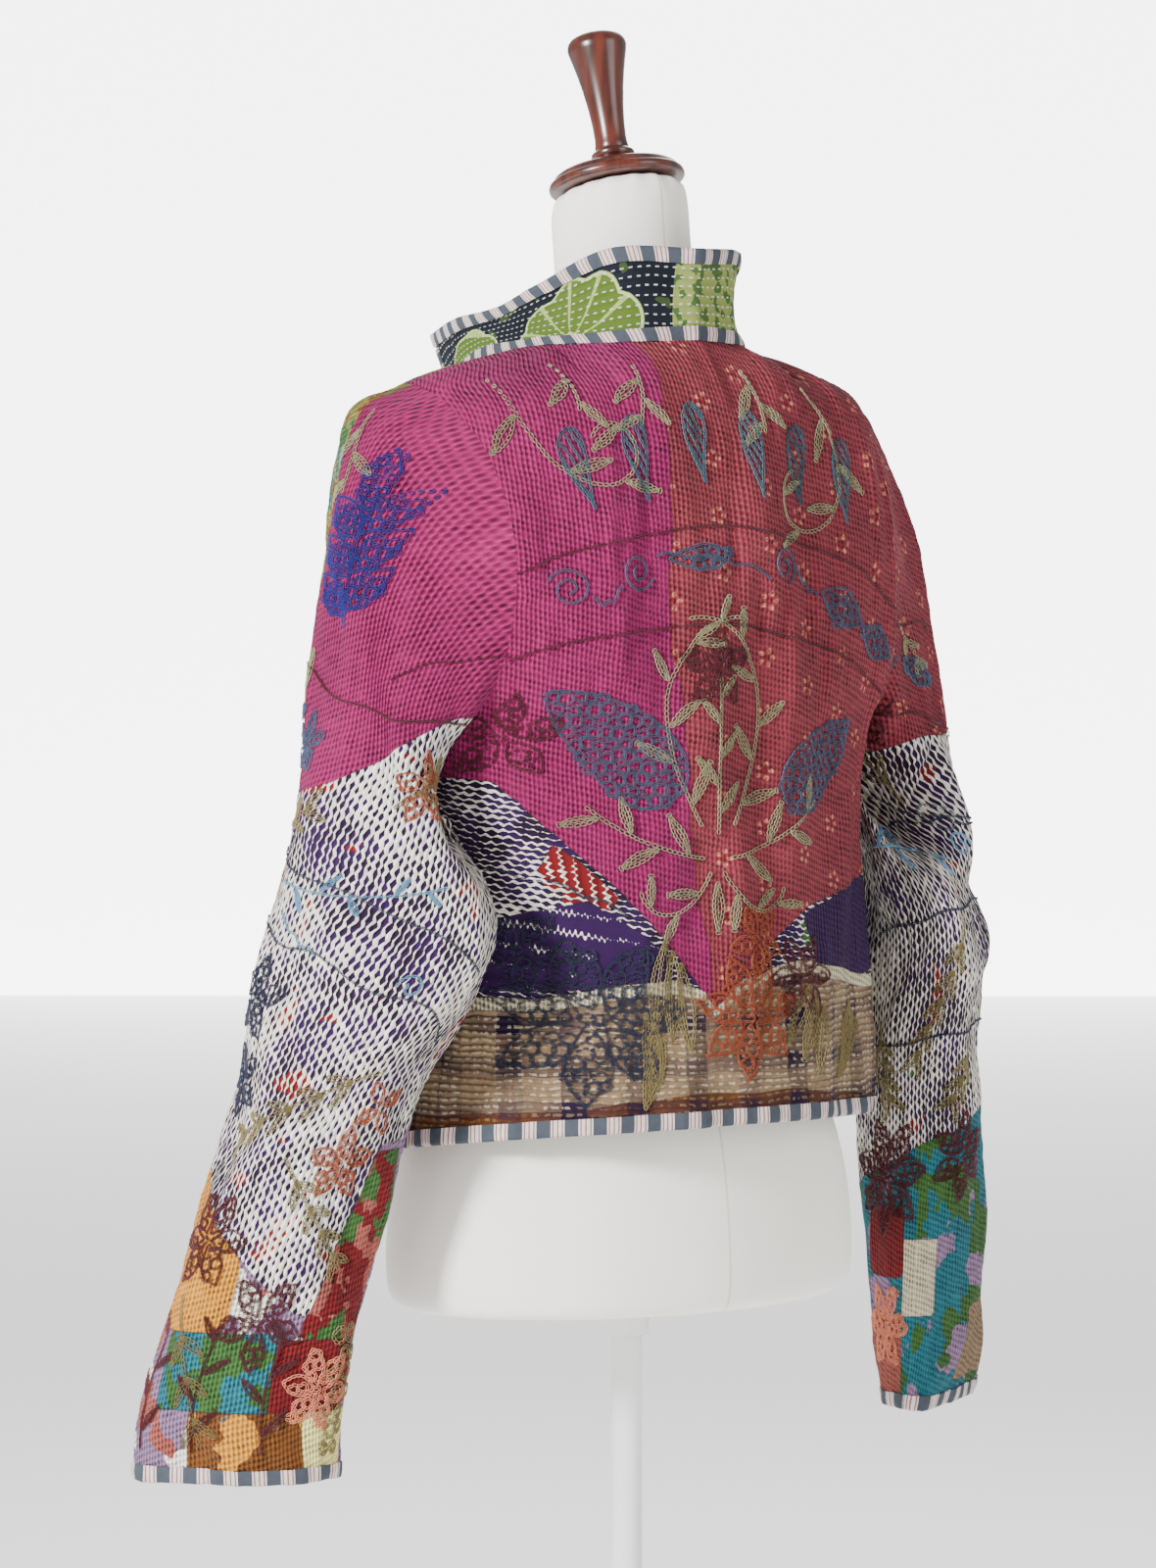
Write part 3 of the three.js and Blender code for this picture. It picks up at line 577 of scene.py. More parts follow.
def waves(table, across, up):
    height = np.zeros_like(across)
    for wide, tall, phase, size in table:
        height += size * np.sin(2 * math.pi * (across / wide + up / tall) + phase)
    return height


def arc_lengths(points, start):
    """Distance along each row of a grid, measured from the column `start`."""
    hops = np.linalg.norm(np.diff(points, axis=1), axis=2)
    run = np.concatenate([np.zeros((len(points), 1)), np.cumsum(hops, axis=1)], axis=1)
    return run - run[:, start : start + 1]


def outside_share(place, corners):
    """Signed distance to a patch's outline, above zero inside; the outline wanders a little, as hand-cut cloth does."""
    a, b = place
    a = a + 1.6 * np.sin(b / 23 + 1.0) + 0.8 * np.sin(b / 9)
    b = b + 1.6 * np.sin(a / 27) + 0.8 * np.sin(a / 11 + 2)
    distance = np.full(a.shape, 1e9)
    inside = np.zeros(a.shape, dtype=bool)
    for (ax, ay), (bx, by) in zip(corners, corners[1:] + corners[:1]):
        dx, dy = bx - ax, by - ay
        t = np.clip(((a - ax) * dx + (b - ay) * dy) / (dx * dx + dy * dy + 1e-9), 0, 1)
        distance = np.minimum(distance, np.hypot(a - ax - dx * t, b - ay - dy * t))
        crossing = (ay > b) != (by > b)
        meets = ax + (b - ay) * dx / (dy if dy else 1e-9)
        inside ^= crossing & (a < meets)
    return np.where(inside, distance, -distance)


SLEEVE_GIRTH = 440  # the sleeve's own scale round it


class Panel:
    """A piece of the garment: its grid, outward normals and flat places across and up."""

    def __init__(self, points, normals, across, up, tube=False):
        self.points, self.normals, self.across, self.up, self.tube = points, normals, across, up, tube

    def locate(self, places):
        """Points and normals on the panel at flat places (across, up), by stepping over its grid."""
        across, up, points, normals = self.across, self.up, self.points, self.normals
        a, b = places[:, 0], places[:, 1]
        if self.tube:  # unwrapped from the seam, with the first column again at the end
            a, across = np.mod(a + SLEEVE_GIRTH / 4, SLEEVE_GIRTH), np.mod(
                across + SLEEVE_GIRTH / 4, SLEEVE_GIRTH
            )
            across = np.concatenate([across, across[:, :1] + SLEEVE_GIRTH], axis=1)
            up, points, normals = (
                np.concatenate([grid, grid[:, :1]], axis=1) for grid in (up, points, normals)
            )
        rows, columns = across.shape
        i = np.full(len(a), rows / 2.0)
        j = np.full(len(a), columns / 2.0)
        for _ in range(14):
            here_a, here_b = self.sample(across, i, j), self.sample(up, i, j)
            step = 0.5
            a_i = self.sample(across, i + step, j) - self.sample(across, i - step, j)
            a_j = self.sample(across, i, j + step) - self.sample(across, i, j - step)
            b_i = self.sample(up, i + step, j) - self.sample(up, i - step, j)
            b_j = self.sample(up, i, j + step) - self.sample(up, i, j - step)
            det = a_i * b_j - a_j * b_i
            det = np.where(np.abs(det) < 1e-6, 1e-6, det)
            da, db = a - here_a, b - here_b
            i = np.clip(i + np.clip((da * b_j - a_j * db) / det, -25, 25), 0, rows - 1)
            j = np.clip(j + np.clip((a_i * db - b_i * da) / det, -25, 25), 0, columns - 1)
        missed = np.hypot(self.sample(across, i, j) - a, self.sample(up, i, j) - b)
        normal = self.sample(normals, i, j)
        return self.sample(points, i, j), normal / np.linalg.norm(normal, axis=1, keepdims=True), missed

    def sample(self, grid, i, j):
        rows, columns = grid.shape[:2]
        i, j = np.clip(i, 0, rows - 1.001), np.clip(j, 0, columns - 1.001)
        r, c = i.astype(int), j.astype(int)
        s, t = i - r, j - c
        if grid.ndim == 3:
            s, t = s[:, None], t[:, None]
        low = grid[r, c] * (1 - t) + grid[r, c + 1] * t
        high = grid[r + 1, c] * (1 - t) + grid[r + 1, c + 1] * t
        return low * (1 - s) + high * s


# Creases listed one by one: across, lowest and highest place, lean to one side over its height, depth.
CREASES = [
    (-6, 1255, 1400, 10, 2.0),
    (14, 1110, 1330, -8, 1.5),
    (34, 1180, 1300, 5, 1.3),
    (-31, 1285, 1425, 14, 2.1),
    (-58, 1190, 1350, 12, 1.7),
    (-84, 1090, 1260, -6, 1.4),
    (-112, 1240, 1400, 16, 1.6),
    (-140, 1150, 1290, -9, 1.8),
    (61, 1230, 1390, -12, 1.6),
    (88, 1330, 1425, 8, 1.9),
    (104, 1150, 1290, 10, 1.3),
    (131, 1245, 1395, -14, 1.7),
    (152, 1060, 1230, -10, 2.0),
    (-20, 1020, 1170, 7, 1.2),
    (-62, 925, 1060, -5, 1.3),
    (72, 925, 1075, 6, 1.5),
    (-128, 940, 1090, 9, 1.2),
]


def raised(points, normals, across, up, height, calm):
    """The grid with its puckers, slow waves and placed creases, which fade where calm is 0."""
    rise = waves(PUCKERS, across, up) * height / 1.4 + waves(DRAPES, across, up)
    for place, low, high, lean, depth in CREASES:
        share = (up - low) / (high - low)
        fade = np.sin(np.pi * np.clip(share, 0, 1)) ** 0.7
        off = across - place - lean * (share - 0.5)
        rise += depth * fade * (0.7 * np.exp(-(((off - 8) / 6) ** 2)) - np.exp(-((off / 5) ** 2)))
    return points + normals * (np.maximum(rise, -2.6) * calm)[..., None]


def edge_calm(us, vs, hold=0.1):
    """0 on the shoulder seam and 1 well away from it."""
    return np.ones(len(us))[None, :] * (0.15 + 0.85 * smooth((1 - np.asarray(vs)) / hold))[:, None]


def back_panel(sizes):
    step = sizes.step / MM
    us = np.linspace(-1, 1, int(470 / step) // 2 * 2 + 1)
    vs = np.linspace(0, 1, int(545 / step))
    points = back_grid(us, vs)
    middle = len(us) // 2
    arcs = arc_lengths(points, middle)
    normals = grid_normals(points)
    calm = edge_calm(us, vs) * smooth((1 - np.abs(us)) / 0.04)[None, :]
    points = raised(points, normals, arcs, points[..., 2], sizes.pucker / MM, calm)
    return Panel(points, grid_normals(points), points[..., 0], points[..., 2]), arcs


def front_panel(sizes):
    step = sizes.step / MM
    us = np.linspace(0, 1, int(235 / step))
    vs = np.linspace(0, 1, int(545 / step))
    points = front_grid(us, vs)
    arcs = arc_lengths(points, 0)
    normals = grid_normals(points)
    calm = edge_calm(us, vs) * smooth((1 - us) / 0.08)[None, :]
    points = raised(points, normals, arcs, points[..., 2], sizes.pucker / MM, calm)
    return Panel(points, grid_normals(points), points[..., 0], points[..., 2]), arcs


# Waves of a sleeve: whole waves round the tube, wavelength up and depth in millimetres.
SLEEVE_DRAPES = [(3, 260, 1.3), (-4, 180, 1.2), (6, 330, 1.1), (5, -150, 0.9)]
SLEEVE_PUCKERS = [
    (34, 140, 0.42), (-26, 95, 0.36), (46, 210, 0.26), (18, -120, 0.42), (7, 15, 0.18), (-12, 18, 0.2),
    (-10, 72, 0.5)
]
PUCKER_DEPTH = 1.4  # the depth of puckers that those waves are written for, in millimetres
# The loose cloth behind the armpit stands out in one soft ridge: place and width round, place and width up, height.
ARMPIT_RIDGE = (-48, 34, 1158, 62, 9.0)


def sleeve_panel(sizes, side, seed):
    """side is 1 for the wearer's left and -1 for the right; the slow waves differ by seed."""
    step = sizes.step / MM
    count = int(470 / step) // 2 * 2
    arounds = np.arange(count) / count
    alongs = np.linspace(0, 1, int(830 / step))
    points = sleeve_grid(arounds, alongs)
    across = (np.mod(arounds - 0.25 + 0.5, 1) - 0.5) * SLEEVE_GIRTH
    across = np.broadcast_to(across, points.shape[:2])
    normals = sleeve_normals(points)
    calm = smooth(alongs / 0.05)[:, None] * np.ones(count)[None, :]
    waving = (arounds * SLEEVE_GIRTH)[None, :] + np.zeros((len(alongs), 1))
    period = 2 * math.pi / SLEEVE_GIRTH  # whole waves round the tube, so that it closes on itself
    slow = np.zeros_like(waving)
    for table, share, shift in (
        (SLEEVE_DRAPES, 1.0, 1.7), (SLEEVE_PUCKERS, sizes.pucker / MM / PUCKER_DEPTH, 2.3)
    ):
        for k, (turns, tall, size) in enumerate(table):
            turn = turns * waving * period + points[..., 2] / tall * 2 * math.pi + seed + k * shift
            slow += size * share * np.sin(turn)
    place, wide, middle, tall, size = ARMPIT_RIDGE
    slow += size * np.exp(-(((across - place) / wide) ** 2) - ((points[..., 2] - middle) / tall) ** 2)
    points = points + normals * (slow * calm)[..., None]
    normals = sleeve_normals(points)
    flip = np.array([side, 1, 1])
    return Panel(points * flip, normals * flip, across, points[..., 2], tube=True), arounds


def collar_panel(sizes):
    step = sizes.step / MM
    alongs = np.linspace(1, -1, int(560 / step))
    heights = np.linspace(0, 1, 19)
    points = collar_grid(alongs, heights)
    arcs = arc_lengths(points, len(alongs) // 2)
    normals = -grid_normals(points)
    if np.sum(normals[..., :2] * points[..., :2]) < 0:
        normals = -normals
    up = np.broadcast_to((heights * COLLAR_HEIGHT)[:, None], arcs.shape)
    points = points + normals * (waves(PUCKERS, arcs, up) * 0.35)[..., None]
    return Panel(points, normals, arcs, up), arcs


COLLAR_HEIGHT = 60


# ---------------------------------------------------------------- fabrics


def waving(tree, across, up, size, strength, seed=0.0):
    """A soft cloudy value about 0, for faded dye and uneven hand stitching."""
    place = as_point(tree, maths(tree, "ADD", across, seed), up, 1 / size)
    noise = add_node(tree, "ShaderNodeTexNoise", {"Vector": place, "Scale": 1.0, "Detail": 3.0})
    centred = maths(tree, "SUBTRACT", noise.outputs[0], 0.5)
    return maths(tree, "MULTIPLY", centred, strength)


def wave(tree, place, pitch, phase=0.0):
    """A cosine of one cycle per pitch, from -1 to 1."""
    turned = maths(tree, "MULTIPLY_ADD", place, 2 * math.pi / pitch, phase)
    return maths(tree, "COSINE", turned)


def shaded(tree, colour, share, spread=1.0):
    """The colour made lighter or darker by a signed share."""
    gain = maths(tree, "MULTIPLY_ADD", share, spread, 1.0)
    colour = colour if isinstance(colour, bpy.types.NodeSocket) else colour[:3]
    mixed = add_node(tree, "ShaderNodeVectorMath", {0: colour, "Scale": gain}, operation="SCALE")
    return mixed.outputs[0]


def kantha(tree, across, up, colour, pitch, wander=3.0, depth=0.4):
    """Dyed cotton gathered by rows of running stitch: fine upright cords broken into small dents, with painted shade in
    the dents and painted light on the cords, over randomly faded dye.
    """
    drift = waving(tree, across, up, 22.0, wander)
    across = maths(tree, "ADD", across, drift)
    cord = wave(tree, across, pitch)
    row = maths(tree, "FLOOR", maths(tree, "DIVIDE", across, pitch))
    shift = maths(tree, "MULTIPLY", row, 0.9)
    level = maths(tree, "ADD", maths(tree, "ADD", up, shift), waving(tree, across, up, 15.0, 3.0, 8.0))
    dent = wave(tree, level, 4.4)
    uneven = maths(tree, "ADD", waving(tree, across, up, 9.0, 2.6, 33.0), 1.0)
    height = maths(
        tree, "MULTIPLY", maths(tree, "MULTIPLY_ADD", dent, 0.7, maths(tree, "MULTIPLY", cord, 0.8)), uneven
    )
    faded = maths(
        tree, "ADD", waving(tree, across, up, 70.0, 0.8), waving(tree, across, up, 10.0, 0.55, 51.0)
    )
    # Painted shade and light: the colour is darker in the dents and lighter on the cords by the relief's height, plus
    # randomly faded dye.
    light = maths(tree, "MULTIPLY_ADD", height, depth, faded)
    return shaded(tree, colour, light), height


def netted(tree, across, up, white, dark, tints=(), open_share=1.0, tall=7.4, wide=4.6):
    """Dark printed cotton under close rows of thick white thread: small dark lozenges show between the rows."""
    crook = waving(tree, across, up, 12.0, 3.0, 40.0)
    lean = maths(tree, "MULTIPLY", up, 0.16)
    across = maths(tree, "ADD", maths(tree, "ADD", across, lean), waving(tree, across, up, 30.0, 7.0))
    up = maths(tree, "ADD", up, maths(tree, "ADD", crook, waving(tree, across, up, 44.0, 9.0, 12.0)))
    row = maths(tree, "DIVIDE", maths(tree, "ADD", across, maths(tree, "MULTIPLY", crook, 0.35)), wide)
    side = maths(tree, "ABSOLUTE", maths(tree, "SUBTRACT", maths(tree, "FRACT", row), 0.5))
    shift = maths(tree, "MULTIPLY", maths(tree, "FLOOR", row), tall * 0.47)
    share = maths(tree, "FRACT", maths(tree, "DIVIDE", maths(tree, "ADD", up, shift), tall))
    length = maths(tree, "ABSOLUTE", maths(tree, "SUBTRACT", share, 0.5))
    reach = maths(tree, "ADD", maths(tree, "MULTIPLY", length, 0.72), side)
    patchy = maths(
        tree, "ADD", waving(tree, across, up, 60.0, 0.9, 90.0), waving(tree, across, up, 8.0, 0.7, 5.0)
    )
    gap = maths(tree, "LESS_THAN", reach, maths(tree, "ADD", patchy, 0.36 * open_share))
    under = dark
    for k, (tint, limit) in enumerate(tints):
        cloud = waving(tree, across, up, 30.0 + 9 * k, 1.0, 300.0 * (k + 1))
        under = blend(tree, maths(tree, "GREATER_THAN", cloud, limit), under, tint)
    aged = shaded(tree, white, waving(tree, across, up, 14.0, 0.9, 20.0))
    grey = maths(tree, "MULTIPLY", maths(tree, "GREATER_THAN", side, 0.44), 0.4)
    aged = blend(tree, grey, aged, dark)
    colour = blend(tree, gap, aged, under)
    height = maths(
        tree, "SUBTRACT", maths(tree, "MULTIPLY", wave(tree, row, 1.0, math.pi), -0.8),
        maths(tree, "MULTIPLY", gap, 1.6)
    )
    return colour, height


def plaid(tree, across, up, ground, stripe, pale):
    """Yarn-dyed plaid under thin stitching: broad faded checks with broken pale rows."""
    wavy = waving(tree, across, up, 20.0, 6.0)
    up = maths(tree, "ADD", up, wavy)
    wide = maths(tree, "GREATER_THAN", wave(tree, maths(tree, "ADD", across, wavy), 44.0), 0.35)
    tall = maths(tree, "GREATER_THAN", wave(tree, up, 29.0, 1.2), 0.3)
    cloud = maths(tree, "ADD", waving(tree, across, up, 50.0, 1.4, 77.0), 0.5)
    both = maths(tree, "MULTIPLY", maths(tree, "ADD", wide, tall), maths(tree, "MULTIPLY", cloud, 0.8))
    colour = blend(tree, both, ground, stripe)
    thin = maths(tree, "GREATER_THAN", wave(tree, up, 4.6), 0.25)
    ragged = maths(tree, "ADD", across, waving(tree, across, up, 6.0, 16.0))
    broken = maths(tree, "GREATER_THAN", wave(tree, ragged, 8.0), -0.1)
    patchy = maths(tree, "GREATER_THAN", waving(tree, across, up, 24.0, 1.0, 44.0), -0.04)
    dash = maths(
        tree, "MULTIPLY", maths(tree, "MULTIPLY", thin, broken),
        maths(tree, "MULTIPLY_ADD", patchy, 0.4, 0.14)
    )
    colour = blend(tree, dash, colour, pale)
    height = maths(tree, "MULTIPLY_ADD", dash, 1.5, wave(tree, up, 4.6))
    fading = maths(tree, "ADD", waving(tree, across, up, 30.0, 1.0), waving(tree, across, up, 4.0, 0.9))
    return shaded(tree, colour, fading), height


def sprigged(tree, across, up, colour, petal):
    """Brick cotton printed with rings of small petals on a half-drop grid, about 4 cm apart."""
    pitch = 39.0
    column = maths(tree, "FLOOR", maths(tree, "DIVIDE", across, pitch))
    drop = maths(tree, "MULTIPLY", maths(tree, "MODULO", maths(tree, "ABSOLUTE", column), 2.0), pitch / 2)
    a = maths(
        tree, "MULTIPLY",
        maths(tree, "SUBTRACT", maths(tree, "FRACT", maths(tree, "DIVIDE", across, pitch)), 0.5), pitch
    )
    level = maths(tree, "FRACT", maths(tree, "DIVIDE", maths(tree, "ADD", up, drop), pitch))
    b = maths(tree, "MULTIPLY", maths(tree, "SUBTRACT", level, 0.5), pitch)
    turn = maths(tree, "ARCTAN2", b, a)
    far = maths(
        tree, "SQRT", maths(tree, "ADD", maths(tree, "MULTIPLY", a, a), maths(tree, "MULTIPLY", b, b))
    )
    ring = maths(tree, "ABSOLUTE", maths(tree, "SUBTRACT", far, 4.8))
    petals = maths(tree, "MULTIPLY_ADD", maths(tree, "COSINE", maths(tree, "MULTIPLY", turn, 5.0)), 1.7, 0.5)
    share = maths(tree, "LESS_THAN", ring, petals)
    heart = maths(tree, "MULTIPLY", maths(tree, "LESS_THAN", far, 2.4), 0.6)
    colour = blend(tree, heart, colour, opaque(linear("#6E1220")))
    speck = maths(tree, "GREATER_THAN", waving(tree, across, up, 1.6, 1.0), -0.1)
    return blend(tree, maths(tree, "MULTIPLY", share, maths(tree, "MULTIPLY", speck, 0.62)), colour, petal)


def collage(tree, across, up, dyes, size, seed):
    """Large-print cotton with loose shapes in several dyes, as hand-painted cloth has."""
    place = as_point(tree, maths(tree, "ADD", across, seed), up, 1 / size)
    bent = add_node(tree, "ShaderNodeTexNoise", {"Vector": place, "Scale": 1.6, "Detail": 1.0})
    moved = add_node(tree, "ShaderNodeVectorMath", {0: bent.outputs[1], 1: place}, operation="ADD").outputs[0]
    cells = add_node(tree, "ShaderNodeTexVoronoi", {"Vector": moved, "Scale": 1.0})
    pick = add_node(tree, "ShaderNodeSeparateColor", {0: cells.outputs["Color"]}).outputs[0]
    ramp = add_node(tree, "ShaderNodeValToRGB", {0: pick})
    ramp.color_ramp.interpolation = "CONSTANT"
    stops = ramp.color_ramp.elements
    stops[0].color = dyes[0]
    stops[1].position = 1 / len(dyes)
    stops[1].color = dyes[1]
    for k, one in enumerate(dyes[2:], 2):
        stops.new(k / len(dyes)).color = one
    return ramp.outputs[0]


def patched_material(name, layers, rough=0.92, bump=0.75):
    """Cotton patches sewn edge to edge. layers(tree, across, up) gives (mark or None, colour, height) from the
    ground up; a mark is the patch's signed distance, and its seam shows as a thin dark groove."""
    material, tree, shader = new_material(name)
    across, up = cloth_place(tree)
    colour = height = None
    for mark, paint, rise in layers(tree, across, up):
        if mark is None:
            colour, height = paint, rise
            continue
        edge = add_node(tree, "ShaderNodeAttribute", attribute_name=mark).outputs["Fac"]
        inside = maths(tree, "GREATER_THAN", edge, 0.0)
        seam = maths(tree, "LESS_THAN", maths(tree, "ABSOLUTE", edge), 0.55)
        colour = blend(tree, inside, colour, paint)
        colour = blend(tree, maths(tree, "MULTIPLY", seam, 0.35), colour, (0.02, 0.01, 0.015, 1.0))
        mixed = add_node(tree, "ShaderNodeMix", {0: inside, 2: height, 3: rise}).outputs[0]
        height = maths(tree, "MULTIPLY_ADD", seam, -1.5, mixed)
    fibre = add_node(
        tree, "ShaderNodeTexNoise", {"Vector": as_point(tree, across, up), "Scale": 1.1, "Detail": 2.0}
    ).outputs[0]
    height = maths(tree, "MULTIPLY_ADD", fibre, 0.7, height)
    tree.links.new(colour, shader.inputs["Base Color"])
    relief = add_node(tree, "ShaderNodeBump", {"Strength": bump, "Distance": 0.0014, "Height": height})
    tree.links.new(relief.outputs[0], shader.inputs["Normal"])
    shader.inputs["Roughness"].default_value = rough
    shader.inputs["Specular IOR Level"].default_value = 0.14
    shader.inputs["Sheen Weight"].default_value = 0.04
    shader.inputs["Sheen Roughness"].default_value = 0.5
    return material


# Patches of the back, as outlines across and up from the floor, in millimetres.
BACK_PATCHES = {
    "patch_brick": [(46, 1470), (50, 1400), (59, 1276), (44, 1120), (28, 984), (-230, 984), (-230, 1470)],
    "patch_net": [
        (240, 1160), (190, 1150), (163, 1144), (134, 1111), (117, 1091), (93, 1068), (66, 1037), (44, 1012),
        (28, 985), (-6, 1021), (-63, 1056), (-131, 1071), (-240, 1080), (-240, 860), (240, 860),
    ],
    "patch_purple": [
        (240, 1050), (162, 1052), (118, 1064), (98, 1052), (66, 1028), (62, 1012), (112, 1004), (240, 1000)
    ],
    "patch_plum": [
        (-52, 1048), (-66, 1054), (-131, 1071), (-240, 1076), (-240, 1006), (-110, 1004), (-70, 1010)
    ],
    "patch_red_blocks": [(134, 1104), (94, 1064), (104, 1056), (142, 1084)],
    "patch_cream": [
        (240, 999), (143, 998), (60, 1013), (36, 1003), (28, 990), (8, 1010), (-56, 1018), (-240, 990),
        (-240, 860), (240, 860),
    ],
    "patch_plaid": [
        (240, 990), (143, 989), (60, 1003), (36, 996), (28, 984), (6, 1002), (-56, 1009), (-240, 981),
        (-240, 860), (240, 860),
    ],
    "patch_strip": [(240, 916), (120, 922), (53, 934), (-60, 928), (-240, 912), (-240, 860), (240, 860)],
}

# Patches of the sleeves, as outlines round (0 is the back face, 110 the overarm) and up.
LEFT_SLEEVE_PATCHES = {
    "patch_upper": [
        (-250, 1460), (104, 1460), (98, 1300), (98, 1132), (85, 1137), (36, 1148), (-7, 1168), (-59, 1188),
        (-250, 1200),
    ],
    "patch_print": [(104, 1460), (96, 1300), (98, 1190), (240, 1160), (340, 1176), (340, 1460)],
    "patch_cuff": [
        (340, 912), (240, 930), (140, 905), (98, 884), (60, 862), (-33, 788), (-44, 785), (-61, 842),
        (-80, 905), (-250, 912),
        (-250, 600), (340, 600),
    ],
}
RIGHT_SLEEVE_PATCHES = {
    "patch_upper": [
        (-250, 1460), (250, 1460), (250, 1176), (60, 1178), (18, 1172), (-48, 1166), (-82, 1158), (-250, 1150)
    ],
    "patch_cuff": [
        (250, 930), (110, 915), (-29, 895), (-122, 868), (-214, 832), (-250, 820), (-250, 600), (250, 600)
    ],
}

# Plain blocks of the cuffs, laid like bricks: first and last place round, lowest and highest place.
LEFT_CUFF_BLOCKS = {
    "patch_yellow": (-110, -52, 640, 722),
    "patch_brown": (-52, 34, 640, 722),
    "patch_crimson": (-90, -24, 722, 772),
    "patch_band": (-24, 66, 722, 776),
    "patch_orange": (16, 104, 776, 900),
    "patch_stem": (-110, -40, 772, 900),
}
RIGHT_CUFF_BLOCKS = {
    "patch_pink": (-216, -124, 676, 742),
    "patch_pale": (-124, -84, 742, 800),
    "patch_drop": (-180, -124, 770, 822),
    "patch_tan": (-40, 50, 690, 748),
}


def block_share(place, block):
    """Distance inside a plain block's nearest side."""
    across, up = place
    first, last, low, high = block
    return np.minimum(np.minimum(across - first, last - across), np.minimum(up - low, high - up))


def net_tints(dyes):
    return [(opaque(dyes.purple), 0.0), (opaque(dyes.crimson), 0.13), (opaque(dyes.green), 0.19)]


def back_layers(dyes, sizes):
    def layers(tree, across, up):
        rib = sizes.rib / MM
        magenta, brick = opaque(dyes.magenta), opaque(dyes.brick)
        yield None, *kantha(tree, across, up, magenta, rib)
        yield "patch_brick", *kantha(
            tree, across, up, sprigged(tree, across, up, brick, opaque(ThreadDefaults.peach)), rib
        )
        yield "patch_net", *netted(
            tree, up, across, opaque(dyes.white), opaque(dyes.plum), net_tints(dyes), 1.5, 8.0, 4.2
        )
        yield "patch_purple", *netted(
            tree, up, across, opaque(dyes.white), opaque(dyes.purple), (), 2.3, 4.4, 14.0
        )
        yield "patch_plum", *kantha(tree, across, up, opaque(dyes.purple), rib)
        yield "patch_red_blocks", *netted(
            tree, across, up, opaque(dyes.white), opaque(dyes.crimson), (), 1.6, 4.4, 9.0
        )
        yield "patch_cream", *kantha(tree, across, up, opaque(dyes.cream), rib)
        yield "patch_plaid", *plaid(tree, across, up, opaque(dyes.tan), opaque(dyes.plum), opaque(dyes.cream))
        yield "patch_strip", *plaid(
            tree, across, up, shaded(tree, opaque(dyes.brown), -0.3), opaque(dyes.plum), opaque(dyes.tan)
        )

    return layers


def printed(tree, across, up, dyes, pitch, seed):
    """Ochre cotton printed with green and turquoise leafy shapes in two sizes, and small red marks."""
    large = [opaque(c) for c in (dyes.ochre, dyes.green, dyes.ochre, dyes.lime, dyes.ochre, dyes.turquoise)]
    small = [opaque(c) for c in (dyes.green, dyes.ochre, dyes.lime, dyes.crimson)]
    leafy = collage(tree, across, up, large, 21.0, seed)
    detail = collage(tree, across, up, small, 7.0, seed + 31)
    share = maths(
        tree, "MULTIPLY", maths(tree, "GREATER_THAN", waving(tree, across, up, 13.0, 1.0, 61.0), -0.02), 0.7
    )
    return kantha(tree, across, up, blend(tree, share, leafy, detail), pitch)


def cuff_ground(tree, across, up, dyes, pitch, seed):
    wide = [opaque(c) for c in (dyes.lilac, dyes.white, dyes.lilac, dyes.coral, dyes.lilac)]
    return kantha(tree, across, up, collage(tree, across, up, wide, 30.0, seed), pitch)


def left_sleeve_layers(dyes, sizes):
    def layers(tree, across, up):
        rib = sizes.rib / MM
        yield None, *netted(tree, across, up, opaque(dyes.white), opaque(dyes.plum), net_tints(dyes), 1.15)
        yield "patch_upper", *kantha(tree, across, up, opaque(dyes.magenta), rib)
        yield "patch_print", *printed(tree, across, up, dyes, rib, 10.0)
        yield "patch_cuff", *cuff_ground(tree, across, up, dyes, rib, 70.0)
        banded = [opaque(c) for c in (dyes.turquoise, dyes.green, dyes.turquoise, dyes.green)]
        yield "patch_band", *kantha(tree, across, up, collage(tree, across, up, banded, 24.0, 5.0), rib)
        yield "patch_orange", *kantha(tree, across, up, opaque(dyes.orange), rib)
        rounded = [opaque(c) for c in (dyes.brown, dyes.orange, dyes.brown, dyes.tan)]
        yield "patch_brown", *kantha(tree, across, up, collage(tree, across, up, rounded, 28.0, 31.0), rib)
        yield "patch_yellow", *kantha(tree, across, up, opaque(dyes.yellow), rib)
        yield "patch_crimson", *kantha(tree, across, up, opaque(dyes.crimson), rib)
        mixed = [opaque(c) for c in (dyes.crimson, dyes.coral, dyes.green, dyes.crimson)]
        yield "patch_stem", *kantha(tree, across, up, collage(tree, across, up, mixed, 18.0, 12.0), rib)

    return layers


def right_sleeve_layers(dyes, sizes):
    def layers(tree, across, up):
        rib = sizes.rib / MM
        yield None, *netted(tree, across, up, opaque(dyes.white), opaque(dyes.plum), net_tints(dyes), 1.25)
        brick = sprigged(tree, across, up, opaque(dyes.brick), opaque(ThreadDefaults.peach))
        yield "patch_upper", *kantha(tree, across, up, brick, rib)
        banded = [opaque(c) for c in (dyes.turquoise, dyes.green, dyes.turquoise, dyes.green, dyes.lilac)]
        yield "patch_cuff", *kantha(tree, across, up, collage(tree, across, up, banded, 26.0, 55.0), rib)
        yield "patch_pink", *kantha(tree, across, up, shaded(tree, opaque(dyes.coral), -0.1), rib)
        yield "patch_pale", *kantha(tree, across, up, opaque(dyes.cream), rib)
        yield "patch_drop", *kantha(tree, across, up, opaque(dyes.crimson), rib)
        yield "patch_tan", *kantha(tree, across, up, opaque(dyes.tan), rib)

    return layers


def front_layers(dyes, sizes):
    def layers(tree, across, up):
        yield None, *printed(tree, across, up, dyes, sizes.rib / MM, 10.0)

    return layers


class ThreadDefaults:
    """Dyes that a print shares with a thread."""

    peach = linear("#DB8768")


# ---------------------------------------------------------------- embroidery


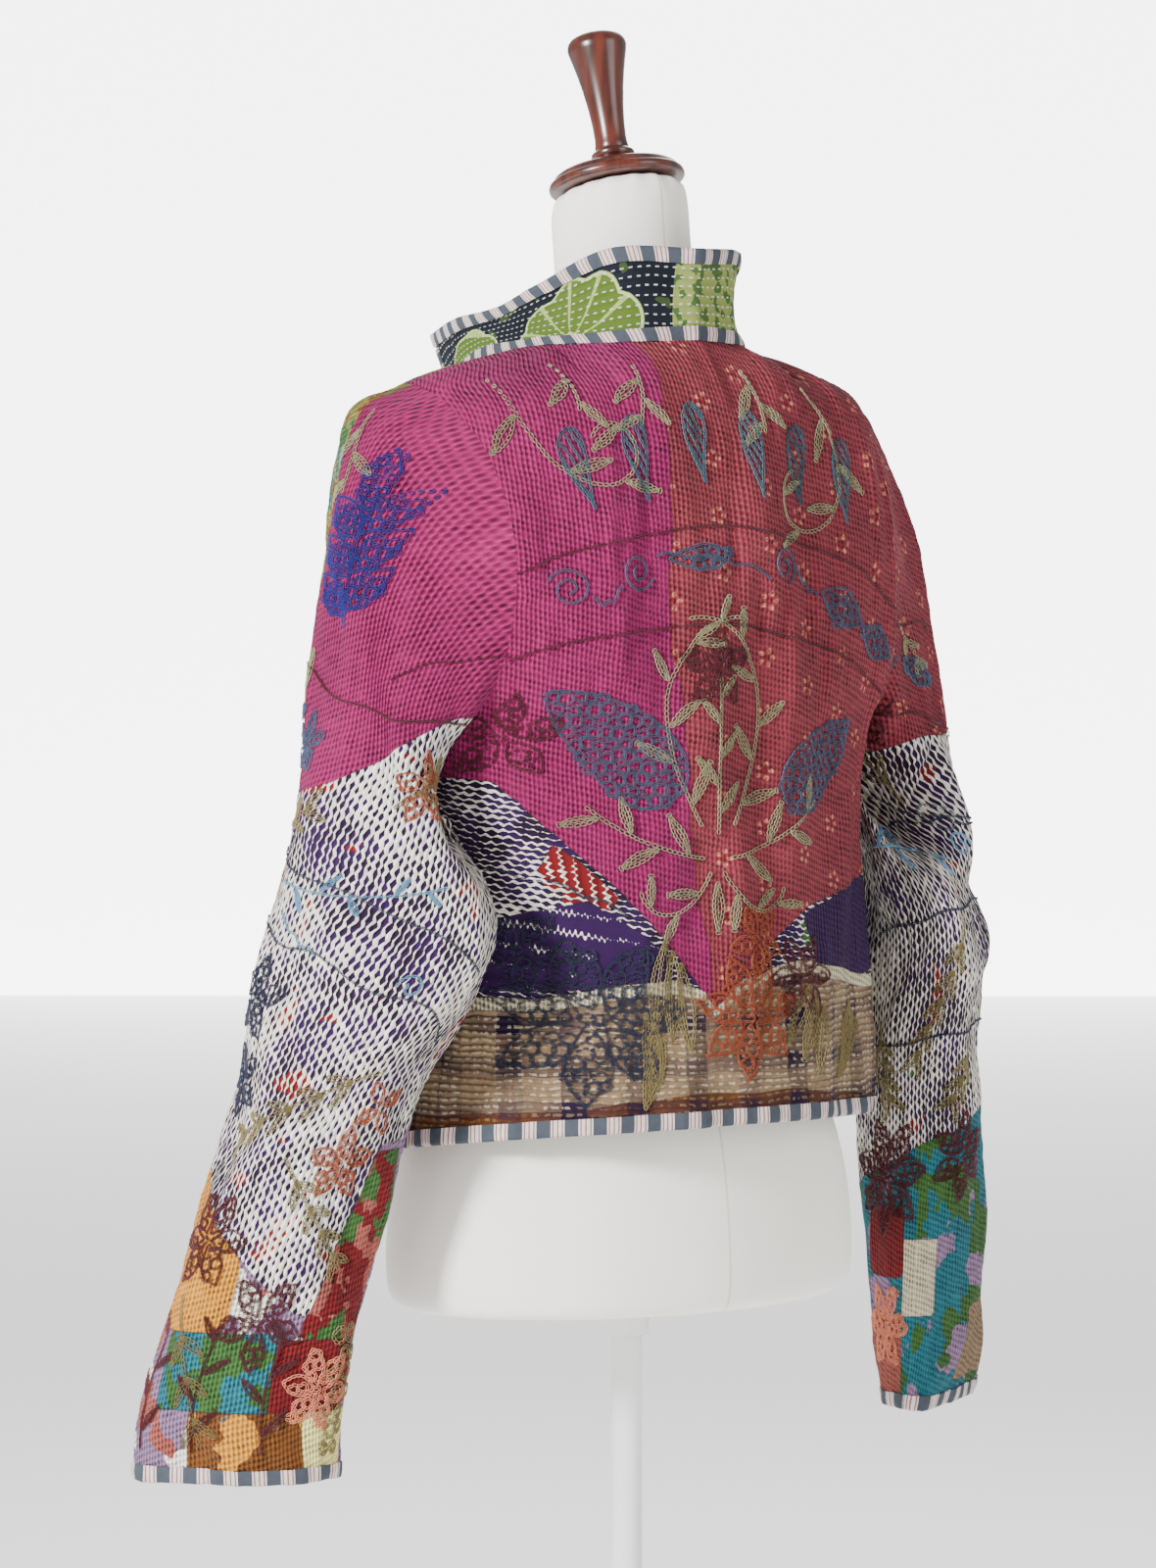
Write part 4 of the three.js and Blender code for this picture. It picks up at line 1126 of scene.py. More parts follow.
def curve_through(points, spacing):
    """Points at an even spacing along a smooth curve through the given ones."""
    points = np.asarray(points, dtype=float)
    if len(points) > 2:
        ends = np.concatenate([[2 * points[0] - points[1]], points, [2 * points[-1] - points[-2]]])
        fine = []
        for k in range(len(points) - 1):
            p0, p1, p2, p3 = ends[k : k + 4]
            t = np.linspace(0, 1, 12, endpoint=False)[:, None]
            fine.append(spline_point(p0, p1, p2, p3, t))
        points = np.concatenate([*fine, points[-1:]])
    run = np.concatenate([[0], np.cumsum(np.linalg.norm(np.diff(points, axis=0), axis=1))])
    count = max(1, int(round(run[-1] / spacing)))
    at = (np.arange(count) + 0.5) * run[-1] / count
    return np.stack([np.interp(at, run, points[:, k]) for k in (0, 1)], axis=1)


def spiral(a, b, radius, turns=1.6, start=0.0, way=1):
    t = np.linspace(0, 1, 26)
    angle = math.radians(start) + way * 2 * math.pi * turns * t
    reach = radius * (1 - 0.82 * t)
    return np.stack([a + reach * np.cos(angle), b + reach * np.sin(angle)], axis=1)


def turned_by(points, a, b, degrees):
    angle = math.radians(degrees)
    c, s = math.cos(angle), math.sin(angle)
    points = np.asarray(points, dtype=float)
    return np.stack(
        [a + points[:, 0] * c - points[:, 1] * s, b + points[:, 0] * s + points[:, 1] * c], axis=1
    )


def leaf(a, b, size, degrees, plump=0.32):
    """A pointed leaf's outline from its foot (a, b), with its tip in the direction given from the level."""
    t = np.linspace(0, 1, 9)
    bow = np.sin(np.pi * t) * size * plump / 2
    outline = np.concatenate([np.stack([t * size, bow], axis=1), np.stack([t * size, -bow], axis=1)[::-1]])
    return turned_by(outline, a, b, degrees)


def drop_shape(size, share=1.0, curl=0.35):
    """A paisley drop about its own middle, tip up and bent to one side."""
    t = np.linspace(0, 2 * math.pi, 25)
    across = np.sin(t) * (0.5 + 0.5 * np.cos(t / 2) ** 2) * 0.36
    along = -np.cos(t) * 0.5
    bend = curl * (along + 0.5) ** 2
    return np.stack([(across * share + bend * share) * size, along * size * share], axis=1)


def sprig(foot, tip, leaves, size, spread=50):
    """A stem with pairs of slender leaves."""
    foot, tip = np.array(foot, dtype=float), np.array(tip, dtype=float)
    heading = math.degrees(math.atan2(tip[1] - foot[1], tip[0] - foot[0]))
    rows = [np.array([foot, (foot + tip) / 2 + [1.5, 1], tip])]
    for k in range(leaves):
        p = foot + (tip - foot) * (k + 1) / (leaves + 0.6)
        rows += [
            leaf(p[0], p[1], size, heading + spread, 0.22), leaf(p[0], p[1], size, heading - spread, 0.22)
        ]
    return rows


def filled(outline, pitch, degrees=0.0, waver=0.8):
    """Rows of stitches that fill a closed outline, from side to side."""
    outline = np.asarray(outline, dtype=float)
    angle = math.radians(degrees)
    c, s = math.cos(angle), math.sin(angle)
    turned = np.stack([outline[:, 0] * c + outline[:, 1] * s, -outline[:, 0] * s + outline[:, 1] * c], axis=1)
    rows = []
    for level in np.arange(turned[:, 1].min() + pitch / 2, turned[:, 1].max(), pitch):
        meets = []
        for p, q in zip(turned, np.roll(turned, -1, axis=0)):
            if (p[1] > level) != (q[1] > level):
                meets.append(p[0] + (level - p[1]) * (q[0] - p[0]) / (q[1] - p[1]))
        meets.sort()
        for left, right in zip(meets[::2], meets[1::2]):
            if right - left > 3:
                t = np.linspace(left + 1, right - 1, 5)
                wave_up = level + waver * np.sin(t * 0.9 + level)
                rows.append(np.stack([t * c - wave_up * s, t * s + wave_up * c], axis=1))
    return rows


def hanging_leaf(top, tip, wide):
    """A drop leaf's outline, round at the top and pointed at its tip, bent a little."""
    top, tip = np.array(top, dtype=float), np.array(tip, dtype=float)
    length = np.linalg.norm(tip - top)
    heading = (tip - top) / length
    across = np.array([-heading[1], heading[0]])
    t = np.linspace(0, 2 * math.pi, 25)
    down = (1 - np.cos(t)) / 2
    half = np.sin(t) * (0.72 - 0.3 * np.cos(t + math.pi)) * (1 - down**3) * wide / 2
    bow = np.sin(np.pi * down) * wide * 0.12
    return top + heading * (down * length)[:, None] + across * (half + bow)[:, None]


def pendant_rows():
    """Hanging drop leaves in an even row under the collar, each filled with rows of stitches."""
    rows = []
    for k in range(6):
        a, b = 122 - 46 * k, 1404 - 9 * abs(k - 2.2)
        outline = hanging_leaf((a, b), (a - 9 + 3 * k, b - 54 - 4 * (k % 2)), 23)
        rows += [outline, *filled(outline, 5.2, 62)]
    return rows


def long_leaf(a, b, size, degrees, reach=2):
    """A slender leaf of chain rows that starts a little way from its stem."""
    angle = math.radians(degrees)
    a, b = a + math.cos(angle) * reach, b + math.sin(angle) * reach
    return [leaf(a, b, size, degrees, 0.21), leaf(a, b, size, degrees, 0.06)[:9]]


def curl(a, b, heading, length, bend, tighten=0.0):
    """A vine's line from (a, b) that turns by `bend` degrees over its length, later and faster with `tighten`."""
    t = np.linspace(0, 1, 24)
    angle = np.radians(heading + bend * (t * (1 - tighten) + tighten * t**3))
    hops = np.stack([np.cos(angle), np.sin(angle)], axis=1) * length / len(t)
    return np.array([a, b]) + np.cumsum(hops, axis=0)


def vine(a, b, heading, length, bend, tighten=0.0, leaves=3, size=28, spread=48):
    """A curling stem with slender leaves to either side in turn."""
    line = curl(a, b, heading, length, bend, tighten)
    rows = [line]
    for k in range(leaves):
        n = int((k + 0.7) / leaves * (len(line) - 2))
        ahead = math.degrees(math.atan2(*(line[n + 1] - line[n])[::-1]))
        rows += long_leaf(*line[n], size * (1 - 0.08 * k), ahead + spread * (-1) ** k)
    return rows


def swag(left, right, rise, waver=1.5):
    """A stitched line that bows up between two places."""
    t = np.linspace(0, 1, 14)[:, None]
    line = np.asarray(left) * (1 - t) + np.asarray(right) * t
    line[:, 1] += (4 * rise * t * (1 - t))[:, 0] + waver * np.sin(t[:, 0] * 17)
    return line


def ringed_leaf(a, b, size, degrees, radius=4.4, plump=0.5):
    outline = leaf(a, b, size, degrees, plump)
    return [outline, *ring_fill(outline, radius, 1.7)]


def inside(outline, a, b):
    """Whether a point lies inside a closed outline."""
    within = False
    for p, q in zip(outline, np.roll(outline, -1, axis=0)):
        if (p[1] > b) != (q[1] > b) and a < p[0] + (b - p[1]) * (q[0] - p[0]) / (q[1] - p[1]):
            within = not within
    return within


def ring_fill(outline, radius, spacing=1.7):
    """Small stitched loops packed inside an outline, in uneven rows."""
    outline = np.asarray(outline, dtype=float)
    rows, t = [], np.linspace(0, 2 * math.pi, 12)
    pitch = radius * spacing
    for m, b in enumerate(np.arange(outline[:, 1].min() + radius, outline[:, 1].max() - radius * 0.5, pitch)):
        for n, a in enumerate(
            np.arange(outline[:, 0].min() + (m % 2) * pitch / 2, outline[:, 0].max(), pitch)
        ):
            a_here, b_here = a + 0.9 * math.sin(m * 2.1 + n * 1.3), b + 0.9 * math.sin(m * 1.1 + n * 2.7)
            if inside(outline, a_here, b_here):
                r = radius * (0.86 + 0.16 * math.sin(m * 3.7 + n * 5.1))
                rows.append(np.stack([a_here + r * np.cos(t), b_here + r * np.sin(t) * 0.9], axis=1))
    return rows


def ringed_flower(a, b, reach, petals, start=0.0, radius=4.6, plump=0.52):
    """A large flower whose long petals are outlined and packed with small loops."""
    rows = [*ring_fill(leaf(a - reach * 0.16, b, reach * 0.32, 0, 0.9), radius * 0.8)]
    for k in range(petals):
        degrees = start + 360 * k / petals
        angle = math.radians(degrees)
        outline = leaf(
            a + math.cos(angle) * reach * 0.14, b + math.sin(angle) * reach * 0.14, reach * 0.86, degrees,
            plump
        )
        rows += [outline, *ring_fill(outline, radius)]
    return rows


def ringed_drop(a, b, size, degrees, curl_share, radius=4.4):
    """A paisley drop with its outline and small loops inside."""
    outline = turned_by(drop_shape(size, 1.0, curl_share), a, b, degrees)
    return [outline, *ring_fill(outline, radius, 1.8)]


def ringed_branch(a, b, pairs, size):
    """An upright branch with pairs of looped leaves and one at its tip."""
    rows = [swag((a, b), (a + 4, b + pairs * size * 0.62), 0)]
    for k in range(pairs):
        level = b + (k + 0.3) * size * 0.62
        rows += [*ringed_leaf(a + 2, level, size, 42), *ringed_leaf(a + 2, level + 4, size, 138)]
    return rows + ringed_leaf(a + 4, b + pairs * size * 0.62, size, 90)


# Motifs of the back, across (left is +) and up from the floor, in millimetres. Every shape comes
# from a drawing function, so that only its place, size and turn stand here.
BACK_MOTIFS = {
    "wine": [
        swag((168, 1284), (-162, 1262), 44),
        swag((166, 1228), (-158, 1200), 36),
        *ringed_flower(26, 1222, 28, 5, 90, 4.2, 0.6),
        *ringed_flower(158, 1176, 30, 5, 90, 4.4, 0.55),
        *ringed_flower(-52, 1008, 30, 6, 0),
    ],
    "rust": [*ringed_flower(0, 984, 44, 7, 15), *ringed_flower(-8, 1036, 26, 5, 60)],
    "sage": [
        *vine(152, 1426, -86, 190, -330, 0.7, 4, 32),
        *vine(64, 1430, -92, 44, 20, 0, 3, 24),
        *vine(112, 1430, -100, 34, 20, 0, 2, 24),
        *vine(-24, 1428, -110, 46, 30, 0, 3, 28),
        *vine(-70, 1420, -138, 200, 300, 0.6, 5, 30),
        *vine(24, 1104, 90, 112, 0, 0, 5, 26, 42),
        *[
            row for side in (1, -1) for row in vine(
                24 + 8 * side, 1108, 90 - 34 * side, 190, 130 * side, 0.55, 6, 30
            )
        ],
        *[
            row for side in (1, -1) for row in vine(
                24 + 6 * side, 1092, 90 - 84 * side, 96, 34 * side, 0, 4, 30
            )
        ],
        *[
            row for side in (1, -1) for row in vine(
                24 + 4 * side, 1086, -90 + 20 * side, 78, 150 * side, 0.5, 3, 24
            )
        ],
        *long_leaf(24, 1078, 34, -90),
    ],
    "dusk": [
        *[
            spiral(a, b, 14, 1.7, turn, sign) for a, b, turn,
            sign in [(132, 1276, 20, 1), (84, 1288, 200, 1), (-34, 1292, 250, -1)]
        ],
        swag((118, 1270), (98, 1280), -8),
        swag((68, 1298), (-20, 1284), 6),
        swag((-48, 1290), (-70, 1272), -4),
        *ringed_leaf(58, 1296, 48, 176, 4.2, 0.36),
        *ringed_leaf(-72, 1274, 50, 208),
        *ringed_leaf(-118, 1248, 44, 208),
        *ringed_drop(86, 1176, 104, -28, 0.32),
        *ringed_drop(-66, 1160, 86, 34, -0.3),
    ],
    "teal": pendant_rows(),
    "ink": [
        *ringed_flower(112, 984, 58, 7, 20), *ringed_flower(150, 1032, 28, 5, 50),
        swag((168, 1086), (92, 1056), 4)
    ],
    "olive": [
        *[
            row
            for a, b, size, turn, fan in [
                (66, 1040, 60, -82, -6), (80, 990, 50, -100, 12), (-60, 1004, 46, -60, -10),
                (-118, 988, 50, -74, 14)
            ]
            for k in range(3)
            for row in long_leaf(a - 6 * k, b - 8 * k, size, turn + fan * k)
        ],
    ],
}

# Motifs of the left sleeve, round (0 is the back face, 110 the overarm) and up.
LEFT_MOTIFS = {
    "royal": ringed_branch(52, 1250, 3, 42),
    "dusk": [*ringed_flower(74, 1172, 22, 5, 20, 4.0), *ringed_flower(100, 1186, 16, 4, 50, 3.6)],
    "sage": [*vine(92, 1400, -104, 60, 10, 0, 3, 28), *long_leaf(90, 1238, 26, -84)],
    "wine": [
        swag((-108, 1222), (0, 1216), 12),
        swag((100, 1226), (-70, 1186), -12),
        *ringed_flower(48, 838, 34, 6, 0, 5.0),
        *ringed_flower(-8, 784, 34, 5, 200),
        *[row for a in (80, 30, -20) for row in vine(a, 690, 84, 92, 26, 0, 4, 24)],
    ],
    "rust": [
        *ringed_flower(-46, 892, 26, 5, 20), *ringed_flower(-66, 930, 20, 4, 60),
        *ringed_flower(-36, 1142, 26, 5, 20)
    ],
    "sky": [
        *vine(72, 1080, -164, 130, -30, 0, 5, 18), spiral(-50, 1012, 9, 1.2, 0, 1),
        swag((60, 1056), (16, 1032), -3)
    ],
    "ink": [
        swag((110, 1100), (-100, 1024), 8),
        swag((110, 1052), (-99, 978), 10, 4),
        *ringed_flower(66, 1000, 30, 5, 30),
        *ringed_flower(72, 944, 26, 5, 0),
    ],
    "olive": [
        *sprig((-58, 956), (62, 904), 5, 20, 32),
        *sprig((-2, 896), (-62, 820), 4, 18, 35),
        *sprig((58, 800), (24, 700), 3, 22, 40),
        *sprig((-10, 1130), (-60, 1152), 2, 18, 40),
        *sprig((84, 1112), (40, 1130), 2, 18, 40),
        *ring_fill([(-70, 790), (-98, 790), (-100, 690), (-72, 690)], 6.0, 2.2),
    ],
    "peach": [*ringed_flower(-62, 738, 30, 6, 10)],
}

# Motifs of the right sleeve.
RIGHT_MOTIFS = {
    "wine": [
        swag((-106, 1238), (24, 1246), 8),
        swag((-108, 1186), (30, 1166), 8),
        *ringed_flower(-150, 846, 46, 7, 10),
        *ringed_flower(-64, 862, 34, 6, 30),
        *ringed_flower(-92, 1186, 28, 5, 20),
    ],
    "dusk": [
        *ringed_leaf(-96, 1238, 46, -16, 4.2), *ringed_leaf(-40, 1222, 40, -20, 4.2),
        spiral(-60, 1110, 12, 1.4, 0, 1)
    ],
    "sage": [*sprig((-86, 1300), (-60, 1262), 3, 13, 45), *sprig((-30, 1252), (-14, 1216), 2, 13, 45)],
    "ink": [
        swag((-100, 1124), (-20, 1104), -3),
        swag((-100, 1104), (0, 1112), 3),
        swag((-202, 1025), (-20, 1052), 8),
        swag((-200, 938), (0, 962), 4),
    ],
    "sky": [*vine(-190, 1090, 4, 110, -16, 0, 4, 18), spiral(-58, 1092, 10, 1.3, 0, 1)],
    "olive": [
        *sprig((-96, 1044), (-130, 930), 5, 22, 28),
        *sprig((-72, 1120), (-96, 1160), 2, 20, 40),
        *sprig((-180, 960), (-150, 900), 4, 20, 35),
        *sprig((-60, 950), (-84, 900), 3, 20, 35),
    ],
    "peach": [*ringed_flower(-150, 734, 34, 6, 0)],
}

THREADS = ("sage", "teal", "wine", "dusk", "royal", "peach", "ink", "sky", "olive", "rust")


# How wide each thread's links are, as a share of their length: chain stitch is open, stem stitch nearly closed.
OPENNESS = {
    "sage": 0.27, "teal": 0.2, "dusk": 0.16, "olive": 0.26, "sky": 0.15, "royal": 0.22, "rust": 0.15,
    "ink": 0.15, "wine": 0.15
}


def ring_corners(row, place, rows, around):
    """The four corners of each face between two rings of a grid that closes both ways."""
    near, far = row * around, (row + 1) % rows * around
    beside = (place + 1) % around
    return np.stack([near + place, far + place, far + beside, near + beside], axis=-1)


def chain_links(panel, rows, sizes, openness, lift=0.65):
    """Chain stitches along the rows: a small thread ring for each, laid on the cloth."""
    size, thread = sizes.link / MM, sizes.thread / MM
    places, headings = [], []
    for row in rows:
        even = curve_through(row, size * 0.86)
        if len(even) < 2:
            continue
        places.append(even)
        headings.append(np.gradient(even, axis=0))
    places, headings = np.concatenate(places), np.concatenate(headings)
    headings /= np.maximum(np.linalg.norm(headings, axis=1, keepdims=True), 1e-9)
    centre, normal, missed = panel.locate(places)
    ahead, _, _ = panel.locate(places + headings * 1.5)
    tangent = ahead - centre
    tangent -= normal * np.sum(tangent * normal, axis=1, keepdims=True)
    reach = np.linalg.norm(tangent, axis=1)
    keep = (reach > 0.3) & (reach < 6) & (missed < 2)
    centre, normal, tangent = centre[keep], normal[keep], tangent[keep] / reach[keep, None]
    side = np.cross(normal, tangent)
    turns, sides = 8, 3
    phi = np.arange(turns) * 2 * math.pi / turns
    theta = np.arange(sides) * 2 * math.pi / sides + math.pi / 2
    long, wide = size * 0.5, size * openness
    ring = long * np.cos(phi)[:, None] * tangent[:, None, :] + wide * np.sin(phi)[:, None] * side[:, None, :]
    out = np.cos(phi)[:, None] * tangent[:, None, :] * 0.6 + np.sin(phi)[:, None] * side[:, None, :]
    rope = centre[:, None, None] + ring[:, :, None] + normal[:, None, None] * (lift + thread * 0.35)
    rope = rope + thread / 2 * (
        np.cos(theta)[:, None] * out[:, :, None] * 1.0 + np.sin(theta)[:, None] * normal[:, None, None, :]
    )
    count = len(centre)
    points = rope.reshape(-1, 3)
    k, s = np.meshgrid(np.arange(turns), np.arange(sides), indexing="ij")
    one = ring_corners(k, s, turns, sides)
    faces = (one.reshape(1, -1, 4) + (np.arange(count) * turns * sides)[:, None, None]).reshape(-1, 4)
    return points, faces


def thread_material(name, colour):
    """Mercerised cotton thread: softly shining, a little lighter and darker in fine random flecks."""
    material, tree, shader = new_material(name)
    place = add_node(tree, "ShaderNodeTexCoord").outputs["Object"]
    noise = add_node(tree, "ShaderNodeTexNoise", {"Vector": place, "Scale": 260.0, "Detail": 2.0}).outputs[0]
    share = maths(tree, "MULTIPLY_ADD", noise, 0.7, -0.35)
    tree.links.new(shaded(tree, opaque(colour), share), shader.inputs["Base Color"])
    shader.inputs["Roughness"].default_value = 0.6
    shader.inputs["Sheen Weight"].default_value = 0.1
    return material


# ---------------------------------------------------------------- striped tapes


def tape_loop(width, wall, lift, under):
    """The tape's section as (along the cloth inward, out of the cloth), a closed loop folded over the edge."""
    top, low = lift + wall, -under - lift - wall
    return [
        (width, lift), (width, top), (width * 0.5, top + 0.25), (0.8, top), (-0.9, top - 0.5),
        (-1.7, (top + low) / 2),
        (-0.9, low + 0.5), (0.8, low), (width * 0.5, low - 0.1), (width, low), (width, -under - lift),
        (0.6, -under - lift), (-0.3, -under / 2), (0.6, lift),
    ]


def tape_piece(name, edge, inward, outward, sizes, closed=False, width=None, flat=False, gathers=0.35):
    """A striped tape along an edge. inward runs from the edge into the cloth and outward is the cloth's normal."""
    width = sizes.tape / MM if width is None else width
    wall = 0.9
    section = tape_loop(width, wall, 0.25, sizes.wall / MM)
    if flat:
        section = [
            (width, 0.1), (width, wall), (width * 0.5, wall + 0.5), (0, wall), (0, 0.1), (width * 0.5, 0.1)
        ]
    hops = np.linalg.norm(np.diff(edge, axis=0), axis=1)
    run = np.concatenate([[0], np.cumsum(hops)])
    loop = np.array(section)
    puff = np.sin(run / 6.1) * np.sin(run / 23.0 + 1.0) * gathers
    rise = loop[None, :, 1] + puff[:, None] * np.sign(loop[None, :, 1] + 1.2) * (
        np.abs(loop[None, :, 0] - width / 2) < width * 0.3
    )
    points = edge[:, None] + inward[:, None] * loop[None, :, 0:1] + outward[:, None] * rise[..., None]
    rows, around = points.shape[:2]
    last = rows if closed else rows - 1
    i, j = np.meshgrid(np.arange(last), np.arange(around), indexing="ij")
    i, j = i.ravel(), j.ravel()
    faces = ring_corners(i, j, rows, around)
    flat_points = points.reshape(-1, 3)
    mesh = bpy.data.meshes.new(name)
    polygons = faces.tolist()
    if not closed:
        polygons += [list(range(around)), list(range((rows - 1) * around, rows * around))[::-1]]
    mesh.from_pydata((flat_points * MM).tolist(), [], polygons)
    mesh.update()
    piece = bpy.data.objects.new(name, mesh)
    bpy.context.scene.collection.objects.link(piece)
    only(piece)
    bpy.ops.object.mode_set(mode="EDIT")
    bpy.ops.mesh.select_all(action="SELECT")
    bpy.ops.mesh.normals_make_consistent(inside=False)
    bpy.ops.object.mode_set(mode="OBJECT")
    bpy.ops.object.shade_smooth_by_angle(angle=math.radians(55))
    total = run[-1] + (np.linalg.norm(edge[0] - edge[-1]) if closed else 0)
    along = np.repeat(run, around)
    mark = piece.data.attributes.new("along", "FLOAT", "POINT")
    mark.data.foreach_set("value", along.astype(np.float32))
    return piece, total


def tape_material(colours, pitch):
    """Yarn-dyed cotton tape, cut across its stripes: slate bars, then chalk bars with three thin dark red lines."""
    material, tree, shader = new_material("striped cotton tape")
    along = add_node(tree, "ShaderNodeAttribute", attribute_name="along").outputs["Fac"]
    share = maths(tree, "FRACT", maths(tree, "DIVIDE", along, pitch))
    pale = maths(tree, "LESS_THAN", share, 0.5)
    fine = maths(tree, "FRACT", maths(tree, "MULTIPLY", share, 6.0))
    red = maths(
        tree, "MULTIPLY",
        maths(tree, "LESS_THAN", maths(tree, "ABSOLUTE", maths(tree, "SUBTRACT", fine, 0.5)), 0.15), pale
    )
    colour = blend(tree, pale, opaque(colours.slate), opaque(colours.chalk))
    colour = blend(tree, maths(tree, "MULTIPLY", red, 0.85), colour, opaque(linear("#7A2A35")))
    place = add_node(tree, "ShaderNodeTexCoord").outputs["Object"]
    noise = add_node(tree, "ShaderNodeTexNoise", {"Vector": place, "Scale": 180.0, "Detail": 3.0}).outputs[0]
    colour = shaded(tree, colour, maths(tree, "MULTIPLY_ADD", noise, 0.5, -0.25))
    tree.links.new(colour, shader.inputs["Base Color"])
    weave = add_node(tree, "ShaderNodeTexNoise", {"Vector": place, "Scale": 900.0, "Detail": 1.0}).outputs[0]
    relief = add_node(tree, "ShaderNodeBump", {"Strength": 0.35, "Distance": 0.0006, "Height": weave})
    tree.links.new(relief.outputs[0], shader.inputs["Normal"])
    shader.inputs["Roughness"].default_value = 0.85
    shader.inputs["Specular IOR Level"].default_value = 0.3
    return material


def collar_marks(arcs, up):
    """Signed distances of the collar's printed shapes: two scalloped fans and the lime end."""
    def fan(middle, foot, radius, lobes):
        a, b = arcs - middle, up - foot
        angle = np.arctan2(b, a)
        edge = radius * (0.9 + 0.1 * np.abs(np.sin(angle * lobes / 2)))
        return np.minimum(edge - np.hypot(a, b * 1.12), b + 1), np.hypot(a, b * 1.12) / radius, angle
    first, reach, angle = fan(-92, 4, 56, 9)
    second, _, _ = fan(-214, 2, 46, 7)
    lime = np.minimum(arcs + 18, 1e3) * 1.0
    return {"fan": np.maximum(first, second), "fan_reach": reach, "fan_turn": angle, "lime": lime}


def collar_material(colours):
    """Navy printed cotton with rows of white running stitch, a fan flower and a lime end."""
    material, tree, shader = new_material("navy printed cotton with running stitch")
    across, up = cloth_place(tree)
    dashes = maths(
        tree, "GREATER_THAN", wave(tree, maths(tree, "ADD", up, waving(tree, across, up, 30.0, 5.0)), 6.0),
        0.87
    )
    broken = maths(tree, "GREATER_THAN", wave(tree, across, 6.2), 0.25)
    dash = maths(tree, "MULTIPLY", dashes, broken)
    ground = shaded(tree, opaque(colours.navy), waving(tree, across, up, 26.0, 2.2))
    leafy = blend(
        tree, maths(tree, "GREATER_THAN", waving(tree, across, up, 34.0, 1.0, 60.0), 0.09), ground,
        opaque(linear("#33431F"))
    )
    mark = {
        key: add_node(
            tree, "ShaderNodeAttribute", attribute_name=key
        ).outputs["Fac"] for key in ("fan", "fan_reach", "fan_turn", "lime")
    }
    green, light = opaque(linear("#4C6320")), opaque(linear("#A9B878"))
    rays = maths(
        tree, "GREATER_THAN",
        maths(tree, "ABSOLUTE", maths(tree, "SINE", maths(tree, "MULTIPLY", mark["fan_turn"], 5.5))), 0.2
    )
    fan = blend(tree, rays, opaque(linear("#93A45A")), green)
    ring = maths(tree, "LESS_THAN", maths(tree, "ABSOLUTE", maths(tree, "SUBTRACT", mark["fan"], 1.6)), 1.1)
    fan = blend(tree, ring, fan, light)
    centre = maths(tree, "LESS_THAN", mark["fan_reach"], 0.16)
    fan = blend(tree, maths(tree, "MULTIPLY", centre, 0.8), fan, light)
    colour = blend(tree, maths(tree, "GREATER_THAN", mark["fan"], 0.0), leafy, fan)
    limed = blend(
        tree, maths(tree, "GREATER_THAN", waving(tree, across, up, 11.0, 1.0, 15.0), 0.03),
        opaque(colours.lime), opaque(linear("#3E5A2A"))
    )
    colour = blend(tree, maths(tree, "GREATER_THAN", mark["lime"], 0.0), colour, limed)
    colour = blend(tree, maths(tree, "MULTIPLY", dash, 0.75), colour, opaque(linear("#C9CDD2")))
    tree.links.new(colour, shader.inputs["Base Color"])
    height = maths(tree, "MULTIPLY_ADD", dash, 0.8, wave(tree, up, 6.0))
    relief = add_node(tree, "ShaderNodeBump", {"Strength": 0.4, "Distance": 0.001, "Height": height})
    tree.links.new(relief.outputs[0], shader.inputs["Normal"])
    shader.inputs["Roughness"].default_value = 0.9
    shader.inputs["Specular IOR Level"].default_value = 0.25
    return material


# ---------------------------------------------------------------- panels, made once and kept for the stitches

PANELS = {}


def marks_for(panel, patches, seam=SLEEVE_GIRTH / 2, blocks=None):
    """Signed distances to each patch's outline, which may cross a sleeve's seam."""
    across = np.mod(panel.across + seam, SLEEVE_GIRTH) - seam if panel.tube else panel.across
    marks = {key: outside_share((across, panel.up), corners) for key, corners in patches.items()}
    for key, block in (blocks or {}).items():
        marks[key] = np.minimum(block_share((across, panel.up), block), marks["patch_cuff"])
    return marks


def inner_of(panel, wall):
    """The plain inside of a wall, at the cloth's thickness under its outside."""
    return panel.points - panel.normals * wall


def flat_uv(arcs, panel):
    return np.stack([arcs, panel.up], axis=2)


def tape_rows(points, normals, steps_in):
    """Edge points, inward directions and normals along a grid's first row, which is the edge."""
    inward = points[steps_in] - points[0]
    inward /= np.linalg.norm(inward, axis=1, keepdims=True)
    return points[0], inward, normals[0]


class JACKET_OT_back(bpy.types.Operator):
    """Make the jacket's quilted back, with its patches"""

    bl_idname = "jacket.make_back"
    bl_label = "Back"

    def execute(self, context):
        sizes, dyes = context.scene.cloth_sizes, context.scene.cloth_colours
        panel, arcs = back_panel(sizes)
        PANELS["back"] = panel
        inner = inner_of(panel, sizes.wall / MM)
        uv = flat_uv(arcs, panel)
        piece = wall_piece("quilted_back", panel.points, inner, uv=uv, marks=marks_for(panel, BACK_PATCHES))
        material = patched_material("hand-quilted cotton patchwork of the back", back_layers(dyes, sizes))
        finish_piece(piece, material, ["jacket_back"])
        return {"FINISHED"}


